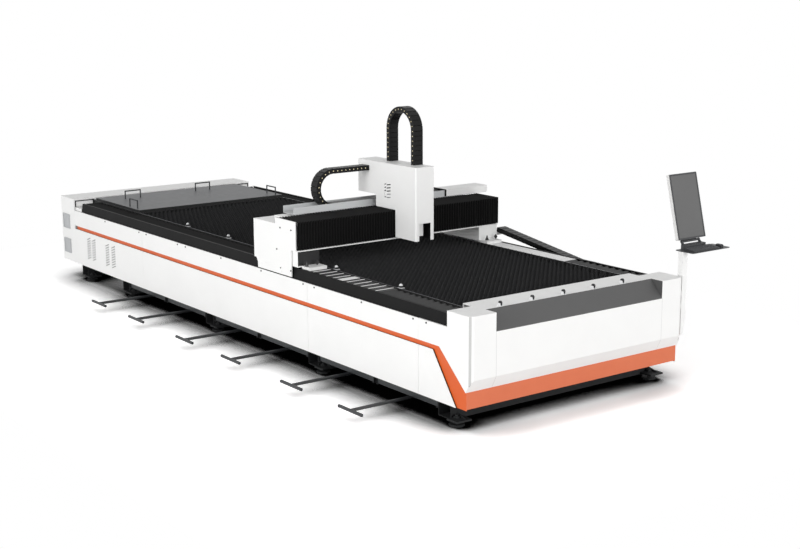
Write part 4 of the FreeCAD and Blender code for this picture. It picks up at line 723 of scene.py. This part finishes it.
def alongAxis(node, axis, fixedHigh, movingShare=1.0):
    # from a run's fixed end to where it would take the second body's whole move
    start, end = [0, 0, 0], [0, 0, 0]
    low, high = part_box(node)
    a, b = (high[axis], low[axis]) if fixedHigh else (low[axis], high[axis])
    start[axis], end[axis] = a, a + (b - a) / movingShare
    return tuple(start), tuple(end)


def runJoints(node, pitch):
    # joints between the links of a straight run, along its longer level side
    low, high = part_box(node)
    middle = (low + high) / 2
    axis = 0 if high[0] - low[0] > high[1] - low[1] else 1
    start, end = middle.copy(), middle.copy()
    start[axis], end[axis] = low[axis], high[axis]
    return alongLine(start, end, pitch)


def leadJoints():
    # the long chain's upper run: level from the bend, then rising to the gantry's arm
    low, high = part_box("x_chain_top_run")
    y = (low[1] + high[1]) / 2
    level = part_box("x_chain_bend")[1][2] - chains["link"] / 2
    bend = Vector((high[0], y, level))
    foot = Vector((chains["leadNearX"], y, level))
    top = Vector((low[0], y, chains["leadHighTop"] - chains["link"] / 2))
    return alongLine(bend, foot, chains["longPitch"]) + alongLine(foot, top, chains["longPitch"])


def bendPins(node, name, across, pitch, outward=(0, 0, 0), legs=()):
    # rivets round a half turn of links, and along its legs if it has any
    low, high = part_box(node)
    middle = (low + high) / 2
    bodyName = nodes[node]["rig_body"]
    wide = high[0] - low[0] if legs else high[2] - low[2]
    radius = (wide - chains["link"]) / 2
    centre = middle.copy()
    if legs:
        centre.z = high[2] - wide / 2
    else:
        axis = 0 if abs(outward[0]) > 0 else 1
        centre[axis] = high[axis] - wide / 2 if outward[axis] > 0 else low[axis] + wide / 2
    count = max(chains["fewestInTurn"], round(math.pi * radius / pitch))
    arm = Vector((1, 0, 0)) if legs else Vector((0, 0, 1))
    spots = roundTurn(centre, arm * radius, across, count)
    for side in legs:
        top = centre + Vector((side * radius, 0, 0))
        spots += alongLine(top, Vector((top.x, top.y, low[2])), pitch)
    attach(makePins(name, spots, "X" if abs(across[0]) > 0 else "Y"), bodyName)


longPitch, crossPitch = chains["longPitch"], chains["crossPitch"]
alongBed, acrossBed = 0, 1
spanBlend("rail_bellows_rear", "railCoverRear",
          alongAxis("rail_bellows_rear", alongBed, False))
spanBlend("rail_bellows_front", "railCoverFront",
          alongAxis("rail_bellows_front", alongBed, True))
spanBlend("beam_bellows_left", "beamCoverLeft",
          alongAxis("beam_bellows_left", acrossBed, False))
spanBlend("beam_bellows_right", "beamCoverRight",
          alongAxis("beam_bellows_right", acrossBed, True))
lowRunLow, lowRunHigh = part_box("x_chain_low_run")
steppedBlend("x_chain_low_run", "longChainLowRun", (lowRunLow[0], lowRunHigh[0]),
             runJoints("x_chain_low_run", longPitch), chains["lowRunParts"])
spanBlend("y_chain_low_run", "crossChainLowRun",
          alongAxis("y_chain_low_run", acrossBed, True, 0.5), runJoints("y_chain_low_run", crossPitch), "X")
spanBlend("x_chain_top_run", "longChainTopRun",
          alongAxis("x_chain_top_run", alongBed, False), leadJoints())
spanBlend("y_chain_top_run", "crossChainTopRun",
          alongAxis("y_chain_top_run", acrossBed, True), runJoints("y_chain_top_run", crossPitch), "X")
bendPins("x_chain_bend", "longChainBendPins", Vector((0, 1, 0)), longPitch, (1, 0, 0))
bendPins("y_chain_bend", "crossChainBendPins", Vector((1, 0, 0)), crossPitch, (0, -1, 0))
bendPins("z_chain_loop", "headChainPins", Vector((0, -1, 0)), crossPitch, legs=(-1, 1))

studio = {"floorHalf": 40.0, "floorWhite": 0.8, "cameraGain": 2.3, "floorRoughness": 0.9,
          "contact": 0.6, "contactSamples": 16, "shadeFrom": 0.45, "shadeTo": 0.85, "shade": "#060606",
          "horizonLevel": 0.75, "zenithLevel": 0.4, "zenithFrom": 0.8,
          "sweepHalf": (4.2, 2.4), "sweepFade": 1.2,
          "keyPower": 1340.0, "keyPlace": (4.0, -16.0, 4.5), "keyAim": (0.5, 0, 0.6), "keySize": 7.0,
          "endPower": 1500.0, "endPlace": (21.0, 2.5, 4.5), "endAim": (3.0, 0, 0.6), "endSize": 8.0}


def seenDirectly(tree):
    # 1 where the camera looks, or sees by way of metal or glass
    ray = addNode(tree, "ShaderNodeLightPath")
    seen = addNode(tree, "ShaderNodeMath", {0: ray.outputs["Is Camera Ray"], 1: ray.outputs["Is Glossy Ray"]},
                   operation="MAXIMUM")
    return addNode(tree, "ShaderNodeMath",
                   {0: seen.outputs["Value"], 1: ray.outputs["Is Transmission Ray"]}, operation="MAXIMUM")


bpy.ops.mesh.primitive_plane_add(size=studio["floorHalf"] * 2, location=(0, 0, 0))
floor = bpy.context.object
floor.name = "studioFloor"
floorMaterial, floorTree, floorShader = newMaterial("studio floor", studio["floorRoughness"])
seen = seenDirectly(floorTree)
tone = addNode(floorTree, "ShaderNodeMix", {"Factor": seen.outputs["Value"]}, data_type="RGBA")
tone.inputs["A"].default_value = [studio["floorWhite"]] * 3 + [1]
tone.inputs["B"].default_value = [studio["floorWhite"] * studio["cameraGain"]] * 3 + [1]
# a soft painted contact shadow: where ambient occlusion finds something close over the floor, its colour
# darkens towards near black
near = addNode(floorTree, "ShaderNodeAmbientOcclusion", {"Distance": studio["contact"]},
               samples=studio["contactSamples"])
floorShade = addNode(floorTree, "ShaderNodeMapRange", {"Value": near.outputs["AO"],
                                                       "From Min": studio["shadeFrom"],
                                                       "From Max": studio["shadeTo"]})
toned = addNode(floorTree, "ShaderNodeMix", {"Factor": floorShade.outputs["Result"]}, data_type="RGBA")
toned.inputs["A"].default_value = toLinear(studio["shade"])
floorTree.links.new(tone.outputs["Result"], toned.inputs["B"])
floorTree.links.new(toned.outputs["Result"], floorShader.inputs["Base Color"])
floorShader.inputs["Specular IOR Level"].default_value = 0.0
# the floor turns to plain white away from the machine, as a lit sweep does
spot = addNode(floorTree, "ShaderNodeSeparateXYZ", {"Vector": objectPlace(floorTree)})
reach = []
for axis, half in (("X", studio["sweepHalf"][0]), ("Y", studio["sweepHalf"][1])):
    size = addNode(floorTree, "ShaderNodeMath", {0: spot.outputs[axis]}, operation="ABSOLUTE")
    reach.append(addNode(floorTree, "ShaderNodeMath", {0: size.outputs["Value"], 1: half},
                         operation="SUBTRACT"))
away = addNode(floorTree, "ShaderNodeMath", {0: reach[0].outputs["Value"], 1: reach[1].outputs["Value"]},
               operation="MAXIMUM")
fade = addNode(floorTree, "ShaderNodeMapRange",
               {"Value": away.outputs["Value"], "From Max": studio["sweepFade"]},
               interpolation_type="SMOOTHSTEP")
whiten = addNode(floorTree, "ShaderNodeMath", {0: fade.outputs["Result"], 1: seen.outputs["Value"]},
                 operation="MULTIPLY")
glow = addNode(floorTree, "ShaderNodeEmission")
sweep = addNode(floorTree, "ShaderNodeMixShader", {"Fac": whiten.outputs["Value"]})
floorTree.links.new(floorShader.outputs["BSDF"], sweep.inputs[1])
floorTree.links.new(glow.outputs["Emission"], sweep.inputs[2])
floorTree.links.new(sweep.outputs["Shader"], floorTree.nodes["Material Output"].inputs["Surface"])
floor.data.materials.append(floorMaterial)

world = bpy.data.worlds.new("studio")
bpy.context.scene.world = world
world.use_nodes = True
sky = world.node_tree
skySeen = seenDirectly(sky)
# brighter round the horizon than overhead, so that tops come out greyer than sides
skyHeight = addNode(sky, "ShaderNodeSeparateXYZ",
                    {"Vector": addNode(sky, "ShaderNodeTexCoord").outputs["Generated"]})
skyFall = addNode(sky, "ShaderNodeMapRange", {"Value": skyHeight.outputs["Z"],
                                              "From Max": studio["zenithFrom"],
                                              "To Min": studio["horizonLevel"],
                                              "To Max": studio["zenithLevel"]})
skyLevel = addNode(sky, "ShaderNodeMapRange", {"Value": skySeen.outputs["Value"],
                                               "To Min": skyFall.outputs["Result"], "To Max": 1.0})
sky.links.new(skyLevel.outputs["Result"], sky.nodes["Background"].inputs["Strength"])
sky.nodes["Background"].inputs["Color"].default_value = (1, 1, 1, 1)


def softLamp(name, place, aim, power, size):
    lamp = bpy.data.lights.new(name, "AREA")
    lamp.energy = power
    lamp.size = size
    holder = bpy.data.objects.new(name, lamp)
    bpy.context.scene.collection.objects.link(holder)
    holder.location = place
    holder.rotation_euler = (Vector(aim) - Vector(place)).to_track_quat("-Z", "Y").to_euler()


softLamp("keyLamp", studio["keyPlace"], studio["keyAim"], studio["keyPower"], studio["keySize"])
softLamp("endLamp", studio["endPlace"], studio["endAim"], studio["endPower"], studio["endSize"])

camera = {"place": (10.8533, -7.1305, 3.2099), "turn": 53.44, "down": 12.05, "roll": -0.0044,
          "lens": 62.24, "sensor": 36.0, "farClip": 200.0}


def aimCamera():
    turn = math.radians(camera["turn"])
    down = math.radians(camera["down"])
    forward = Vector((-math.sin(turn) * math.cos(down), math.cos(turn) * math.cos(down), -math.sin(down)))
    right = forward.cross(Vector((0, 0, 1))).normalized()
    up = right.cross(forward)
    c, s = math.cos(camera["roll"]), math.sin(camera["roll"])
    rolledRight = right * c + up * s
    rolledUp = up * c - right * s
    lens = bpy.data.cameras.new("photoCamera")
    lens.lens = camera["lens"]
    lens.sensor_width = camera["sensor"]
    lens.clip_end = camera["farClip"]
    eyePoint = bpy.data.objects.new("photoCamera", lens)
    bpy.context.scene.collection.objects.link(eyePoint)
    axes = Matrix((rolledRight, rolledUp, -forward)).transposed()
    eyePoint.matrix_world = Matrix.Translation(camera["place"]) @ axes.to_4x4()
    bpy.context.scene.camera = eyePoint


aimCamera()
bpy.context.scene.view_settings.view_transform = "Standard"
print("studio ready")
